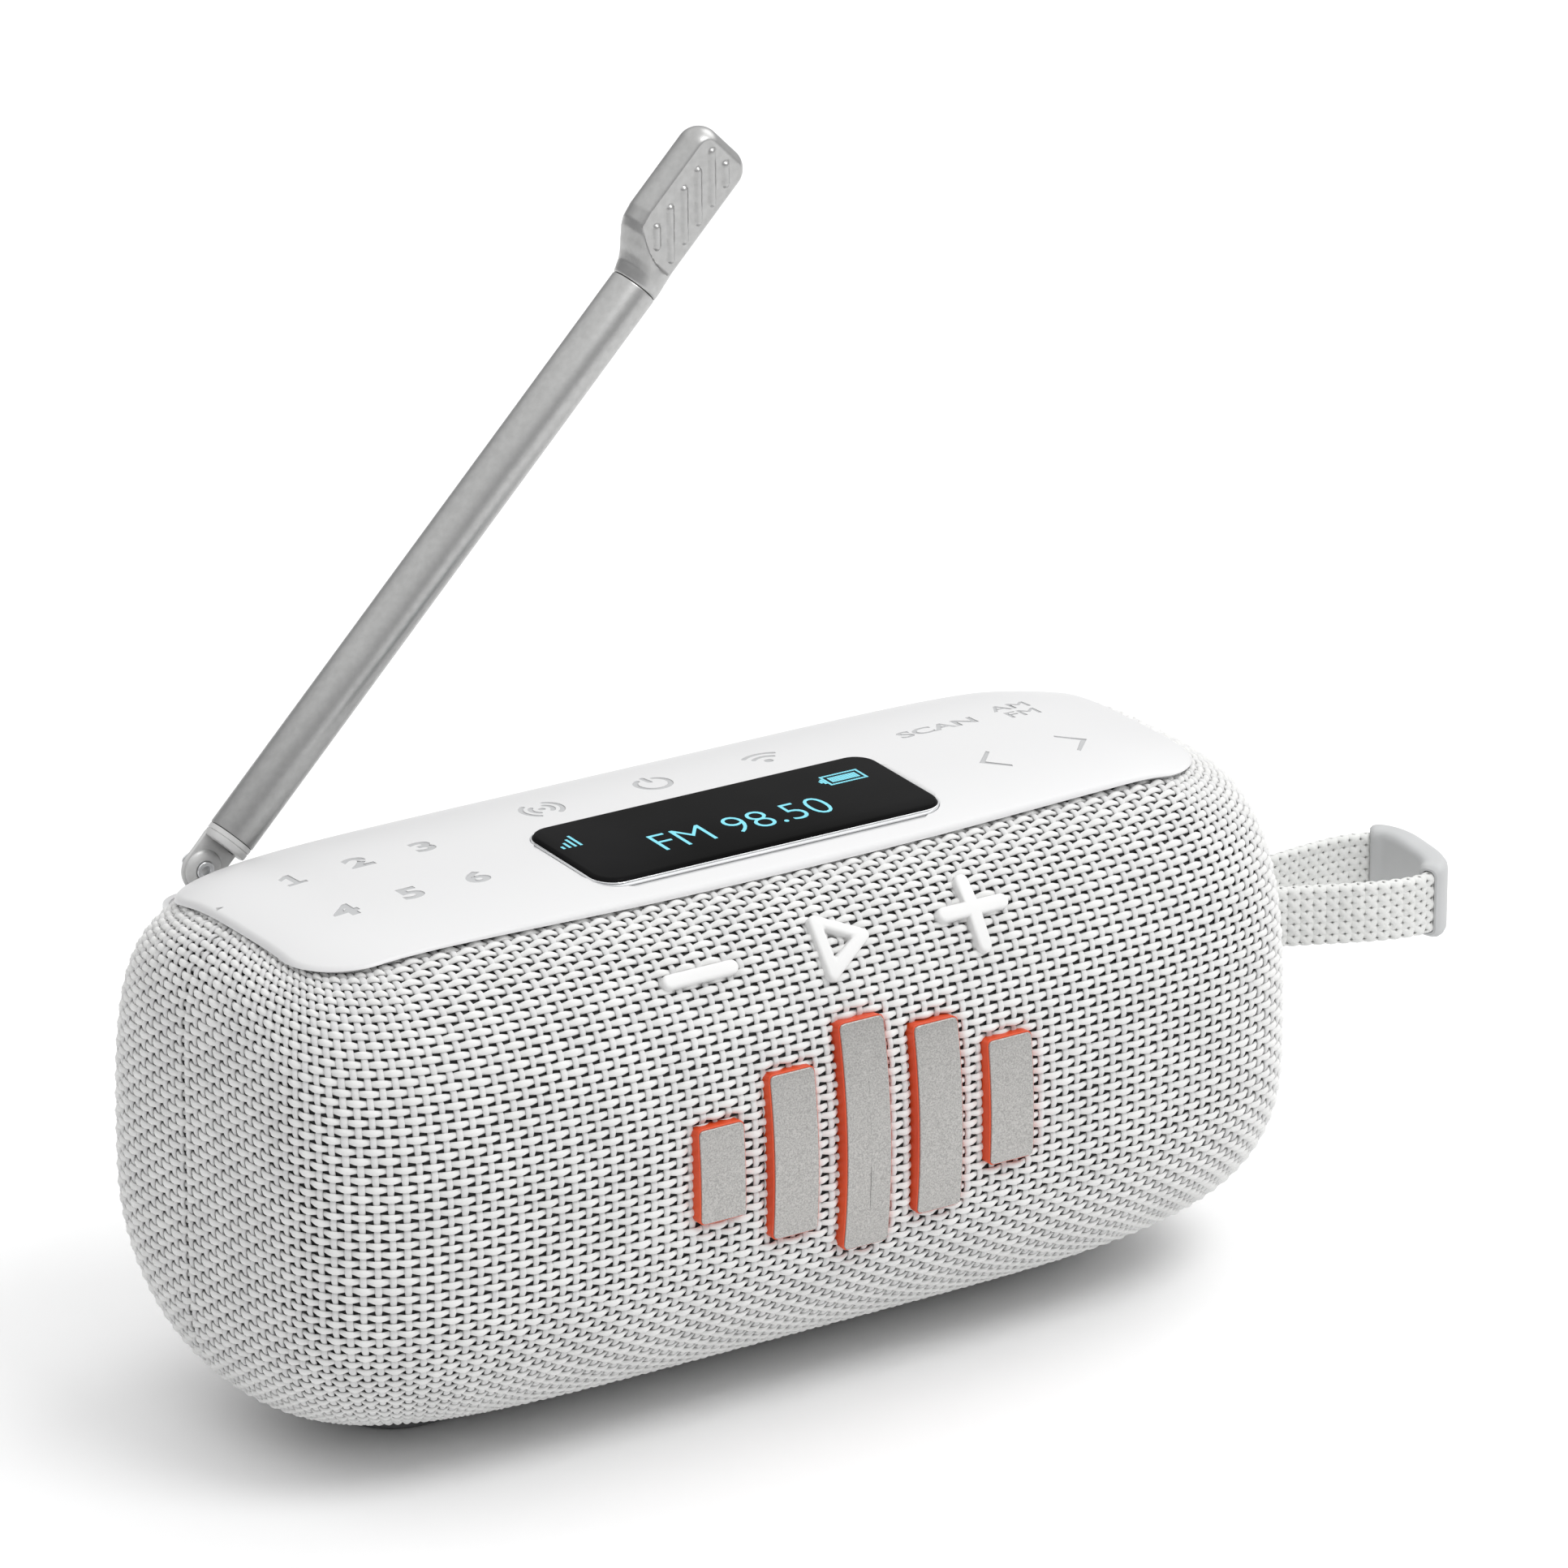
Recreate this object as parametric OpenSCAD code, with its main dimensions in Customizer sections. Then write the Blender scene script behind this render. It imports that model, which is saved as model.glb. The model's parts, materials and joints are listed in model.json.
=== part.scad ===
// Portable digital radio: fabric-covered barrel body, glossy control panel with a display,
// folding telescopic antenna and a carry loop. Millimetres. X runs along the body, the
// speaker front faces -Y, Z is up. The origin is on the resting surface under the body's centre.

/* [Body] */
// Length of the body
body_len = 180; // [176:1:186]
// Depth of the body, front to back
body_depth = 86.2; // [84:0.2:89]
// Height from the widest section up to the crown
crown_height = 47.9; // [47:0.1:49]
// Height from the widest section down to the belly
belly_height = 35.1; // [34.4:0.1:35.2]
// Height of the widest section above the resting surface
mid_height = 36.6; // [36.6:0.1:37]
// Thickness of the padded fabric sleeve
fabric_thickness = 1.2; // [1:0.1:1.4]
// Wall of the moulded housing shells
shell_wall = 2.2; // [2:0.1:2.6]

/* [Control panel] */
// Length of the glossy panel
panel_len = 163.6; // [160:0.2:166]
// Front edge of the panel, forward of the body's centre plane
panel_front = 24; // [23.4:0.2:25]
// Height of the panel's surface above the fabric
panel_proud = 0.9; // [0.5:0.1:1.2]
// Display window length
window_len = 62; // [58:1:64]
// Display window depth
window_depth = 23.2; // [21:0.2:24]
// Travel of every key
key_travel = 0.35; // [0.2:0.05:0.4]

/* [Antenna] */
// Outer diameter of the lowest tube
mast_diameter = 7.6; // [7.2:0.1:8]
// Length of the lowest tube
mast_len = 103.6; // [98:0.2:106]
// Angle of the antenna above horizontal at rest
antenna_tilt = 45.6; // [30:0.2:60]
// Pull-out of each telescopic stage
stage_travel = 84; // [60:1:88]

/* [Carry loop] */
// Width of the webbing
webbing_width = 9.8; // [9:0.2:11]
// Thickness of the webbing
webbing_thickness = 1.9; // [1.6:0.1:2.2]
// Rest angle of the loop, turned towards the front
loop_turn = 9.5; // [0:0.5:14]

/* [Hidden] */
$fn = 48;
half_len = body_len / 2;
half_depth = body_depth / 2;

// Superellipse exponents: cross-section above and below, and end rounding in each direction
round_top = 3.23;
round_belly = 2.16;
end_side = 5.1;
end_top = 8.8;
end_belly = 5;
stations = 10;
around = 40;

// Clearances
slip = 0.08;
key_gap = 0.15;

// Seam between the front and rear fabrics
seam_y = 4.5;

// Panel and what is mounted on it
panel_back = 27;
panel_corner = 10;
window_y = -8;
window_corner = 4;
window_rise = 0.15;
preset_x = -56.8;
preset_pitch = 11.4;
preset_rows = [8.2, -7];
source_x = -2;
source_y = 12;
source_pitch = 20;
tune_x = 55;
tune_rows = [7.8, -8.6];
tune_half = [7.4, 8];
preset_mark = [5.4, 4.6];
source_mark = [6.2, 5];
word_mark = [9.6, 3.6];
arrow_mark = [4, 4.6];

// Front keys, on a plane that touches the body's front shoulder
front_key_y = -35.4;
front_key_pitch = 24.4;
symbol_bar = 2.9;
symbol_rise = 0.9;

// Board levels, measured from the widest section
top_board_z = 37;
board_thickness = 1.2;
switch_height = 1.6;

// Emblem bars: plain rising and falling columns on the front
emblem_heights = [15, 26, 36, 30, 20];
emblem_pitch = 13;
emblem_bar = 8.2;
emblem_z = 9.5;
emblem_base = 1.3;
emblem_face = 0.4;

// Antenna joint
pin_x = -69.2;
pin_y = 32;
pin_z = 42.2;
collar_reach = 6.5;
collar_height = 1.3;
boss_radius = 3;
tongue_y = [0.8, 3.6];
lug_y = [3.7, 5.9];
rivet_radius = 1.1;
turret_radius = 4.4;
turret_top = -4.2;
turret_y = 2.3;
turret_disc = 2;
pivot_radius = 2.6;
pivot_base = -12;
pivot_flange = [3.6, 1.4];
tube_wall = 0.6;
section_step = 2 * (tube_wall + slip);
grip_len = 25.6;
grip_thickness = 6.2;
channel_floor = 36.6;
channel_sheet = 1.4;
channel_span = [-78, 69];

// Carry loop
loop_pin_x = half_len - 5;
loop_pin_y = 10.5;
loop_z = 6.4;
loop_pin_radius = 1.5;
loop_root = 3.2;
loop_reach = 53;
loop_bulge = 14.3;
loop_steps = 48;
clasp_sector = [19, 28];
clasp_cover = 1.4;
clasp_rim = 1.2;

// Sole
sole_len = 144;
sole_width = 30;
sole_thickness = 3;
nub_drop = 0.5;

// Loudspeaker
driver_len = 88;
driver_width = 36;
driver_y = -34.5;
driver_z = 4;
radiator_z = 4;

// ---------- body surface ----------

function signed_pow(t, e) = sign(t) * pow(abs(t), e);
function taper(x, q, reach) = pow(max(1 - pow(abs(x) / reach, q), 0), 1 / q);
function round_at(z) = z >= 0 ? round_top : round_belly;

// A point of the body's surface grown outwards: t runs from end to end, v around the section
function body_point(t, v, grow) =
    let (
        reach = half_len + grow,
        x = reach * signed_pow(sin(t), 2 / end_side),
        e = 2 / round_at(sin(v)),
        wide = (half_depth + grow) * taper(x, end_side, reach),
        tall = sin(v) >= 0
            ? (crown_height + grow) * taper(x, end_top, reach)
            : (belly_height + grow) * taper(x, end_belly, reach)
    )
    [x, wide * signed_pow(cos(v), e), tall * signed_pow(sin(v), e)];

// Height of the surface above the widest section, over a point of the plan
function crown_at(x, y, grow = 0) =
    let (
        wide = (half_depth + grow) * taper(x, end_side, half_len + grow),
        tall = (crown_height + grow) * taper(x, end_top, half_len + grow)
    )
    tall * pow(max(1 - pow(abs(y) / wide, round_top), 0), 1 / round_top);

// Half depth of the straight middle of the body at a height
function side_at(z, grow = 0) =
    let (tall = z >= 0 ? crown_height + grow : belly_height + grow, e = round_at(z))
    (half_depth + grow) * pow(max(1 - pow(abs(z) / tall, e), 0), 1 / e);

module body_solid(grow = 0) {
    last = 2 * stations;
    rings = [
        for (i = [0:last])
        for (k = [0:around - 1])
        body_point((i - stations) * 86 / stations, (k + 0.5) * 360 / around, grow)
    ];
    sides = [
        for (i = [0:last - 1])
        for (k = [0:around - 1])
        let (n = (k + 1) % around)
        [i * around + k, (i + 1) * around + k, (i + 1) * around + n, i * around + n]
    ];
    cap_low = [for (k = [0:around - 1]) k];
    cap_high = [for (k = [around - 1:-1:0]) last * around + k];
    translate([0, 0, mid_height])
        polyhedron(concat(rings), concat(sides, [cap_low, cap_high]), convexity = 4);
}

module body_shell(outer, inner) {
    difference() {
        body_solid(outer);
        body_solid(inner);
    }
}

// ---------- small shared shapes ----------

module rounded_rect(size, r) {
    square([size[0] - 2 * r, size[1]], center = true);
    square([size[0], size[1] - 2 * r], center = true);
    for (sx = [-1, 1])
    for (sy = [-1, 1])
    translate([sx * (size[0] / 2 - r), sy * (size[1] / 2 - r)]) circle(r);
}

module stadium(len, width) {
    rounded_rect([len, width], width / 2 - 0.001);
}

module panel_outline(grow = 0) {
    translate([0, (panel_back - panel_front) / 2])
        rounded_rect(
            [panel_len + 2 * grow, panel_front + panel_back + 2 * grow],
            panel_corner + grow
        );
}

module window_outline(grow = 0) {
    translate([0, window_y])
        rounded_rect([window_len + 2 * grow, window_depth + 2 * grow], window_corner + grow);
}

// Prism standing on a plan outline, from one level above the widest section to another
module upright(low, high) {
    translate([0, 0, mid_height + low]) linear_extrude(high - low) children();
}

// Channel cut along the rear shoulder that the folded antenna lies in
module channel_cut(grow = 0) {
    translate([channel_span[0] - grow, panel_back - grow, mid_height + channel_floor - grow])
        cube([channel_span[1] - channel_span[0] + 2 * grow, 30, 30]);
    turret_seat(grow);
}

// Pocket in the right end that the carry loop swings in
module loop_pocket(grow = 0) {
    root = loop_root + 1.2 + grow;
    mouth = 8.5 + grow;
    translate([loop_pin_x, loop_pin_y, mid_height + loop_z - webbing_width / 2 - 1 - grow])
        linear_extrude(webbing_width + 2 + 2 * grow) {
            circle(root);
            polygon([[-2, -root], [7, -mouth], [7, mouth], [-2, root]]);
        }
}

module loop_pin_hole() {
    translate([loop_pin_x, loop_pin_y, mid_height + loop_z])
        cylinder(r = loop_pin_radius + 0.05, h = 18, center = true);
}

// Two lugs in the rear housing that hold the loop's pin above and below the webbing
module loop_bracket() {
    difference() {
        for (side = [-1, 1])
            translate([loop_pin_x, loop_pin_y, mid_height + loop_z + side * 7.6])
                translate([-3.2, -4, -1.3]) cube([5.8, 8, 2.6]);
        loop_pin_hole();
    }
}

// ---------- fabric ----------

module fabric_openings() {
    upright(0, 60) panel_outline(0.1);
    channel_cut(0.1);
    upright(-60, -20) stadium(sole_len + 0.2, sole_width + 0.2);
    loop_pocket();
    for (k = [-1:1]) front_key_frame(k) translate([0, 0, -6]) linear_extrude(12)
        front_symbol(k, key_gap);
    usb_opening(1.2);
}

module sleeve_skin() {
    difference() {
        body_shell(0, -fabric_thickness);
        fabric_openings();
    }
}

// The front and rear fabrics meet in a seam down each end and under the sole
module behind_seam(side) {
    translate([0, seam_y + side * 100, mid_height]) cube([2 * body_len, 200, 200], center = true);
}

module fabric_front() {
    color("whitesmoke") intersection() {
        sleeve_skin();
        behind_seam(-1);
    }
}

module fabric_rear() {
    color("gainsboro") intersection() {
        sleeve_skin();
        behind_seam(1);
    }
}

// ---------- housing ----------

housing_out = -fabric_thickness - 0.1;
housing_in = housing_out - shell_wall;

module half_space(side) {
    translate([0, side * 50, mid_height]) cube([2 * body_len, 100, 200], center = true);
}

module housing_openings() {
    upright(30, 60) panel_outline(-4);
    channel_cut(0.1);
    loop_pocket(0.1);
    for (k = [-1:1]) front_key_frame(k) translate([0, 0, -6]) linear_extrude(12)
        front_symbol(k, key_gap, true);
    upright(-60, -28) stadium(sole_len - 8 + 0.2, sole_width - 8 + 0.2);
}

module front_grille() {
    for (i = [-8:8])
    translate([i * 5, 0, mid_height + driver_z])
        cube([2.6, 2 * half_depth + 2, driver_width - 14], center = true);
}

module front_housing() {
    color("silver") difference() {
        intersection() {
            body_shell(housing_out, housing_in);
            translate([0, -0.4, 0]) half_space(-1);
        }
        housing_openings();
        intersection() {
            front_grille();
            half_space(-1);
        }
        screw_access();
    }
    color("silver") screw_bosses(-1);
}

module rear_housing() {
    color("silver") difference() {
        intersection() {
            body_shell(housing_out, housing_in);
            translate([0, 0.4, 0]) half_space(1);
        }
        housing_openings();
        translate([0, half_depth, mid_height + radiator_z]) rotate([90, 0, 0])
            linear_extrude(16, center = true) stadium(56, 20);
        usb_opening(0.1);
        loop_pin_hole();
    }
    color("silver") screw_bosses(1);
    color("silver") loop_bracket();
}

screw_places = [[-76, -14], [76, -14], [-76, 22], [76, 22]];

// Round bosses that carry the screws across the split between the two halves
module screw_bosses(side) {
    height = side < 0 ? 22 : 12;
    for (p = screw_places)
    translate([p[0], side * 0.4, mid_height + p[1]]) rotate([side * -90, 0, 0]) difference() {
        union() {
            cylinder(r = 3.4, h = height);
            translate([p[0] > 0 ? 0 : -11.5, -1, 0]) cube([11.5, 2, height]);
        }
        translate([0, 0, -1]) cylinder(r = side < 0 ? 1.7 : 1.2, h = side < 0 ? 30 : 11);
    }
}

// Holes in the front wall that a screwdriver reaches through
module screw_access() {
    for (p = screw_places)
    translate([p[0], -24, mid_height + p[1]]) rotate([90, 0, 0]) cylinder(r = 3, h = 20);
}

module housing_seal() {
    color("dimgray") difference() {
        intersection() {
            body_shell(housing_out - 0.4, housing_in + 0.4);
            translate([0, 0, mid_height]) cube([2 * body_len, 0.7, 200], center = true);
        }
        upright(30, 60) panel_outline(-4);
        loop_pocket(0.2);
        upright(-60, -28) stadium(sole_len - 8 + 0.2, sole_width - 8 + 0.2);
    }
}

module housing_screws() {
    for (p = screw_places)
    translate([p[0], 0, mid_height + p[1]]) color("slategray") rotate([-90, 0, 0]) {
        translate([0, 0, -22]) cylinder(r = 1.15, h = 32);
        translate([0, 0, -24.4]) difference() {
            cylinder(r = 2.6, h = 2.4 - 0.4);
            translate([0, 0, -1]) cylinder(r = 1, h = 2, $fn = 6);
        }
    }
}

// ---------- control panel ----------

// Frame on the panel's surface over a point of the plan, leaning with the surface
module panel_frame(x, y) {
    lean_x = atan2(
        crown_at(x + 0.5, y, panel_proud) - crown_at(x - 0.5, y, panel_proud), 1);
    lean_y = atan2(
        crown_at(x, y + 0.5, panel_proud) - crown_at(x, y - 0.5, panel_proud), 1);
    translate([x, y, mid_height + crown_at(x, y, panel_proud)]) rotate([lean_y, -lean_x, 0])
        children();
}

// Every top key: place in plan and size of its marking
function preset_key(n) = [
    [preset_x + (n % 3 - 1) * preset_pitch, preset_rows[floor(n / 3)]], preset_mark,
];
function source_key(n) = [[source_x + (n - 1) * source_pitch, source_y], source_mark];
function word_key(n) = [[tune_x + (2 * n - 1) * tune_half[0], tune_rows[0]], word_mark];
function arrow_key(n) = [[tune_x + (2 * n - 1) * tune_half[1], tune_rows[1]], arrow_mark];
top_keys = concat(
    [for (n = [0:5]) preset_key(n)], [for (n = [0:2]) source_key(n)],
    [for (n = [0:1]) word_key(n)], [for (n = [0:1]) arrow_key(n)]
);

module mark_prism(key, low, high, grow = 0) {
    panel_frame(key[0][0], key[0][1]) translate([0, 0, low])
        linear_extrude(high - low) rounded_rect([key[1][0] + 2 * grow, key[1][1] + 2 * grow], 0.8);
}

module top_panel() {
    color("white") difference() {
        intersection() {
            body_shell(panel_proud, -fabric_thickness);
            upright(20, 60) panel_outline();
        }
        for (key = top_keys) mark_prism(key, -6, 3, key_gap);
        upright(20, 60) window_outline(0.1);
    }
}

// The display sits on a plane that touches the panel's surface under the window
window_level = crown_at(0, window_y, panel_proud);
window_lean = atan2(
    crown_at(0, window_y + 9, panel_proud) - crown_at(0, window_y - 9, panel_proud), 18);

module window_frame() {
    translate([0, window_y, mid_height + window_level]) rotate([window_lean, 0, 0])
        translate([0, -window_y, 0]) children();
}

module display_window() {
    color("black") window_frame() translate([0, 0, -1]) linear_extrude(1 + window_rise)
        window_outline(-0.7);
}

module display_gasket() {
    color("lightslategray") window_frame() translate([0, 0, -2.2]) {
        linear_extrude(2.1) difference() {
            window_outline(-0.15);
            window_outline(-0.65);
        }
        linear_extrude(1.1) difference() {
            window_outline(-0.15);
            window_outline(-2.4);
        }
    }
}

module display_module() {
    color("darkslategray") window_frame() translate([0, window_y, 0]) {
        translate([0, 0, -2.6]) cube([50, 16, 1.2], center = true);
        translate([0, 0, -3.6]) cube([56, 18, 0.8], center = true);
    }
}

// A key: marking in the panel's opening, a wider flange under the panel and a plunger
module top_key(key) {
    tip = top_board_z + board_thickness + switch_height + key_travel + 0.1;
    color("darkgray") {
        mark_prism(key, -3.4, 0.08);
        mark_prism(key, -4, -3.4, 0.5);
    }
    color("darkgray") translate([key[0][0], key[0][1], mid_height + tip])
        cylinder(r = 1.2, h = crown_at(key[0][0], key[0][1], panel_proud) - 3.8 - tip);
}

module key_1() { top_key(top_keys[0]); }
module key_2() { top_key(top_keys[1]); }
module key_3() { top_key(top_keys[2]); }
module key_4() { top_key(top_keys[3]); }
module key_5() { top_key(top_keys[4]); }
module key_6() { top_key(top_keys[5]); }
module key_broadcast() { top_key(top_keys[6]); }
module key_power() { top_key(top_keys[7]); }
module key_wireless() { top_key(top_keys[8]); }
module key_scan() { top_key(top_keys[9]); }
module key_band() { top_key(top_keys[10]); }
module key_previous() { top_key(top_keys[11]); }
module key_next() { top_key(top_keys[12]); }

// Two narrow boards under the key groups and one under the source keys, joined behind the display
module top_key_board() {
    color("darkgreen") upright(top_board_z, top_board_z + board_thickness) difference() {
        union() {
            translate([preset_x, 0]) square([40, 28], center = true);
            translate([tune_x - 1, 0]) square([40, 28], center = true);
            translate([0, source_y + 1]) square([140, 8], center = true);
        }
        for (x = [preset_x - 17, tune_x + 16]) translate([x, 0]) circle(1.1);
    }
}

module top_switches() {
    color("black") for (key = top_keys)
    translate([key[0][0], key[0][1], mid_height + top_board_z + board_thickness + 0.6])
        cube([3.4, 3.4, 1.2], center = true);
    color("silver") for (key = top_keys)
    translate([key[0][0], key[0][1], mid_height + top_board_z + board_thickness + 1.2])
        cylinder(r = 0.9, h = switch_height - 1.2);
}

// ---------- front keys ----------

front_key_z = crown_at(0, front_key_y);
front_key_lean = -atan2(
    crown_at(0, front_key_y - 0.5) - crown_at(0, front_key_y + 0.5), 1);

module front_key_frame(k) {
    translate([k * front_key_pitch, front_key_y, mid_height + front_key_z])
        rotate([front_key_lean, 0, 0]) children();
}

module triangle_outline(r, grow) {
    polygon([for (a = [0:120:240]) (r + 2 * grow) * [cos(a), sin(a)]]);
}

// Minus, play and plus outlines; filled closes the middle of the play outline
module front_symbol(k, grow, filled = false) {
    bar = symbol_bar + 2 * grow;
    if (k == -1) stadium(13.4 + 2 * grow, bar);
    if (k == 1) {
        stadium(13 + 2 * grow, bar);
        rotate(90) stadium(12.4 + 2 * grow, bar);
    }
    if (k == 0) translate([-0.8, 0]) difference() {
        triangle_outline(7.2, grow);
        if (!filled) triangle_outline(2.6, -grow);
    }
}

module front_key(k) {
    color("white") front_key_frame(k) {
        translate([0, 0, -2.6]) linear_extrude(2.6 + symbol_rise) front_symbol(k, 0);
        translate([0, 0, -5.4]) linear_extrude(2.8) front_symbol(k, 0, true);
        translate([0, 0, -6.4]) linear_extrude(1) front_symbol(k, 0.9, true);
        translate([0, 0, -8]) cylinder(r = 1.2, h = 1.6);
    }
}

module key_volume_down() { front_key(-1); }
module key_play() { front_key(0); }
module key_volume_up() { front_key(1); }

front_board_depth = 8 + key_travel + 0.1 + switch_height;

module front_key_board() {
    color("darkgreen") front_key_frame(0)
        translate([0, 0, -front_board_depth - board_thickness / 2])
            cube([66, 12, board_thickness], center = true);
}

module front_switches() {
    for (k = [-1:1]) front_key_frame(k) translate([0, 0, -front_board_depth]) {
        color("black") translate([0, 0, 0.6]) cube([3.4, 3.4, 1.2], center = true);
        color("silver") translate([0, 0, 1.2]) cylinder(r = 0.9, h = switch_height - 1.2);
    }
}

// ---------- emblem ----------

module emblem_outline(grow = 0) {
    for (i = [0:4])
    translate([(i - 2) * emblem_pitch, emblem_z])
        rounded_rect([emblem_bar + 2 * grow, emblem_heights[i] + 2 * grow], 2);
}

// Layer that follows the front between two heights above the fabric
module front_layer(low, high) {
    steps = 16;
    span = [for (i = [0:steps]) emblem_z - 22 + 44 * i / steps];
    translate([0, 0, mid_height]) rotate([90, 0, 90]) linear_extrude(80, center = true)
        polygon(concat(
            [for (z = span) [-side_at(z, high), z]],
            [for (i = [steps:-1:0]) [-side_at(span[i], low), span[i]]]
        ));
}

module emblem_prism(grow = 0) {
    translate([0, 0, mid_height]) rotate([90, 0, 0]) linear_extrude(60) emblem_outline(grow);
}

module emblem_base() {
    color("orangered") intersection() {
        front_layer(0.05, emblem_base);
        emblem_prism();
    }
}

module emblem_faces() {
    color("silver") intersection() {
        front_layer(emblem_base, emblem_base + emblem_face);
        emblem_prism(-0.15);
    }
}

// ---------- electronics ----------

module main_board() {
    color("darkgreen") translate([0, 6, mid_height + 27]) cube([120, 34, 1.4], center = true);
}

module board_components() {
    color("dimgray") translate([0, 6, mid_height + 27.7]) {
        translate([-34, 0, 1.2]) cube([18, 18, 2.4], center = true);
        translate([2, 3, 0.8]) cube([12, 12, 1.6], center = true);
        translate([34, -4, 0.9]) cube([14, 10, 1.8], center = true);
        for (x = [16, 24]) translate([x, 10, 0]) cylinder(r = 3, h = 5);
    }
}

battery_radius = 9.2;
battery_y = 12;
battery_z = -18;

module battery() {
    color("royalblue") for (x = [-34, 34])
    translate([x, battery_y, mid_height + battery_z]) rotate([0, 90, 0])
        cylinder(r = battery_radius, h = 65, center = true);
}

module battery_cradle() {
    color("dimgray") difference() {
        translate([0, battery_y, mid_height + battery_z - 3]) cube([100, 16, 12], center = true);
        for (x = [-34, 34]) translate([x, battery_y, mid_height + battery_z])
            rotate([0, 90, 0]) cylinder(r = battery_radius + 0.05, h = 65.2, center = true);
        translate([0, battery_y, mid_height + battery_z + 2]) cube([94, 30, 8], center = true);
    }
}

// ---------- loudspeaker and passive radiator ----------

// Frame at the driver's mounting plane: Z points out of the front
module driver_frame() {
    translate([0, driver_y, mid_height + driver_z]) rotate([90, 0, 0]) children();
}

module driver_basket() {
    color("darkslategray") driver_frame() difference() {
        union() {
            translate([0, 0, -1.4]) linear_extrude(1.4) stadium(driver_len, driver_width);
            translate([0, 0, -13]) linear_extrude(12)
                stadium(driver_len - 10, driver_width - 8);
        }
        translate([0, 0, -11.8]) linear_extrude(14) stadium(driver_len - 13, driver_width - 11);
        translate([0, 0, -14]) cylinder(r = 7, h = 4);
        for (sx = [-1, 1]) for (sy = [-1, 1])
        translate([sx * 30, sy * (driver_width / 2 - 1.6), -2]) cylinder(r = 0.9, h = 4);
    }
}

module driver_surround() {
    color("black") driver_frame() linear_extrude(1) difference() {
        stadium(driver_len - 6, driver_width - 6);
        stadium(driver_len - 16, driver_width - 16);
    }
}

module driver_cone() {
    color("dimgray") driver_frame() difference() {
        translate([0, 0, -9]) linear_extrude(9.5) stadium(driver_len - 16.2, driver_width - 16.2);
        translate([0, 0, -8]) linear_extrude(9) stadium(driver_len - 18, driver_width - 18);
        translate([0, 0, -10]) cylinder(r = 6.2, h = 4);
    }
}

module driver_dust_cap() {
    color("black") driver_frame() translate([0, 0, -8]) difference() {
        cylinder(r = 8.6, h = 4);
        translate([0, 0, -1]) cylinder(r = 7.6, h = 4);
    }
}

module driver_magnet() {
    color("gray") driver_frame() {
        translate([0, 0, -26]) cylinder(r = 15, h = 12.95);
        translate([0, 0, -13.1]) cylinder(r = 6, h = 5);
    }
}

module radiator_frame() {
    translate([0, half_depth - 5.5, mid_height + radiator_z]) rotate([-90, 0, 0]) children();
}

module radiator_surround() {
    color("black") radiator_frame() translate([0, 0, -1.2]) linear_extrude(1.2) difference() {
        stadium(64, 28);
        stadium(50, 14);
    }
}

module radiator_plate() {
    color("dimgray") radiator_frame() translate([0, 0, -1.2]) linear_extrude(1.8)
        stadium(49.9, 13.9);
}

// ---------- charging socket ----------

usb_x = 58;
usb_z = -8;

module usb_opening(grow) {
    translate([usb_x, half_depth, mid_height + usb_z]) rotate([90, 0, 0])
        linear_extrude(30, center = true) stadium(11 + 2 * grow, 5 + 2 * grow);
}

module usb_socket() {
    color("silver") translate([usb_x, 0, mid_height + usb_z]) rotate([-90, 0, 0])
        translate([0, 0, half_depth - 13]) difference() {
            linear_extrude(11) stadium(10.9, 4.9);
            translate([0, 0, 3]) linear_extrude(9) stadium(9, 3.2);
        }
}

// ---------- sole ----------

module sole() {
    floor_z = -mid_height + nub_drop;
    color("lightgray") intersection() {
        union() {
            upright(floor_z, floor_z + sole_thickness - 0.6) stadium(sole_len, sole_width);
            upright(floor_z, floor_z + sole_thickness + 1)
                stadium(sole_len - 8, sole_width - 8);
            upright(-mid_height, floor_z) sole_nubs();
        }
        translate([-body_len, -body_len, 0]) cube([2 * body_len, 2 * body_len, 30]);
    }
}

module sole_nubs() {
    circle(4);
    for (sx = [-1, 1])
    for (sy = [-1, 1])
    for (i = [0:3])
    translate([sx * (sole_len / 2 - 12 - 6 * i), sy * (sole_width / 2 - 4)])
        stadium(4, 2.4);
}

// ---------- antenna ----------

module pin_frame() {
    translate([pin_x, pin_y, mid_height + pin_z]) children();
}

// Z runs up the antenna from the pin, Y stays the hinge axis
module mast_frame() {
    pin_frame() rotate([0, 90 - antenna_tilt, 0]) children();
}

module turret_seat(grow = 0) {
    pin_frame() translate([0, turret_y, pivot_base - 0.4 - grow])
        cylinder(r = turret_radius + 1.1 + grow, h = 60);
}

module antenna_channel() {
    wall = panel_back + 0.1;
    long = channel_span[1] - channel_span[0];
    color("white") difference() {
        union() {
            intersection() {
                body_solid(-0.2);
                translate([channel_span[0], wall, mid_height + channel_floor]) {
                    cube([long, 20, channel_sheet]);
                    cube([long, 0.8, 8]);
                }
            }
            pin_frame() translate([0, turret_y, pivot_base - 0.4])
                cylinder(r = turret_radius + 1.1, h = turret_top - pivot_base + 0.4);
        }
        pin_frame() translate([0, turret_y, 0]) {
            translate([0, 0, -20]) cylinder(r = pivot_radius + slip, h = 30);
            translate([0, 0, turret_top - turret_disc - 0.1])
                cylinder(r = turret_radius + 0.15, h = 20);
            translate([0, 0, pivot_base - 1])
                cylinder(r = pivot_flange[0] + 0.15, h = pivot_flange[1] + 1.1);
        }
    }
}

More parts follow.
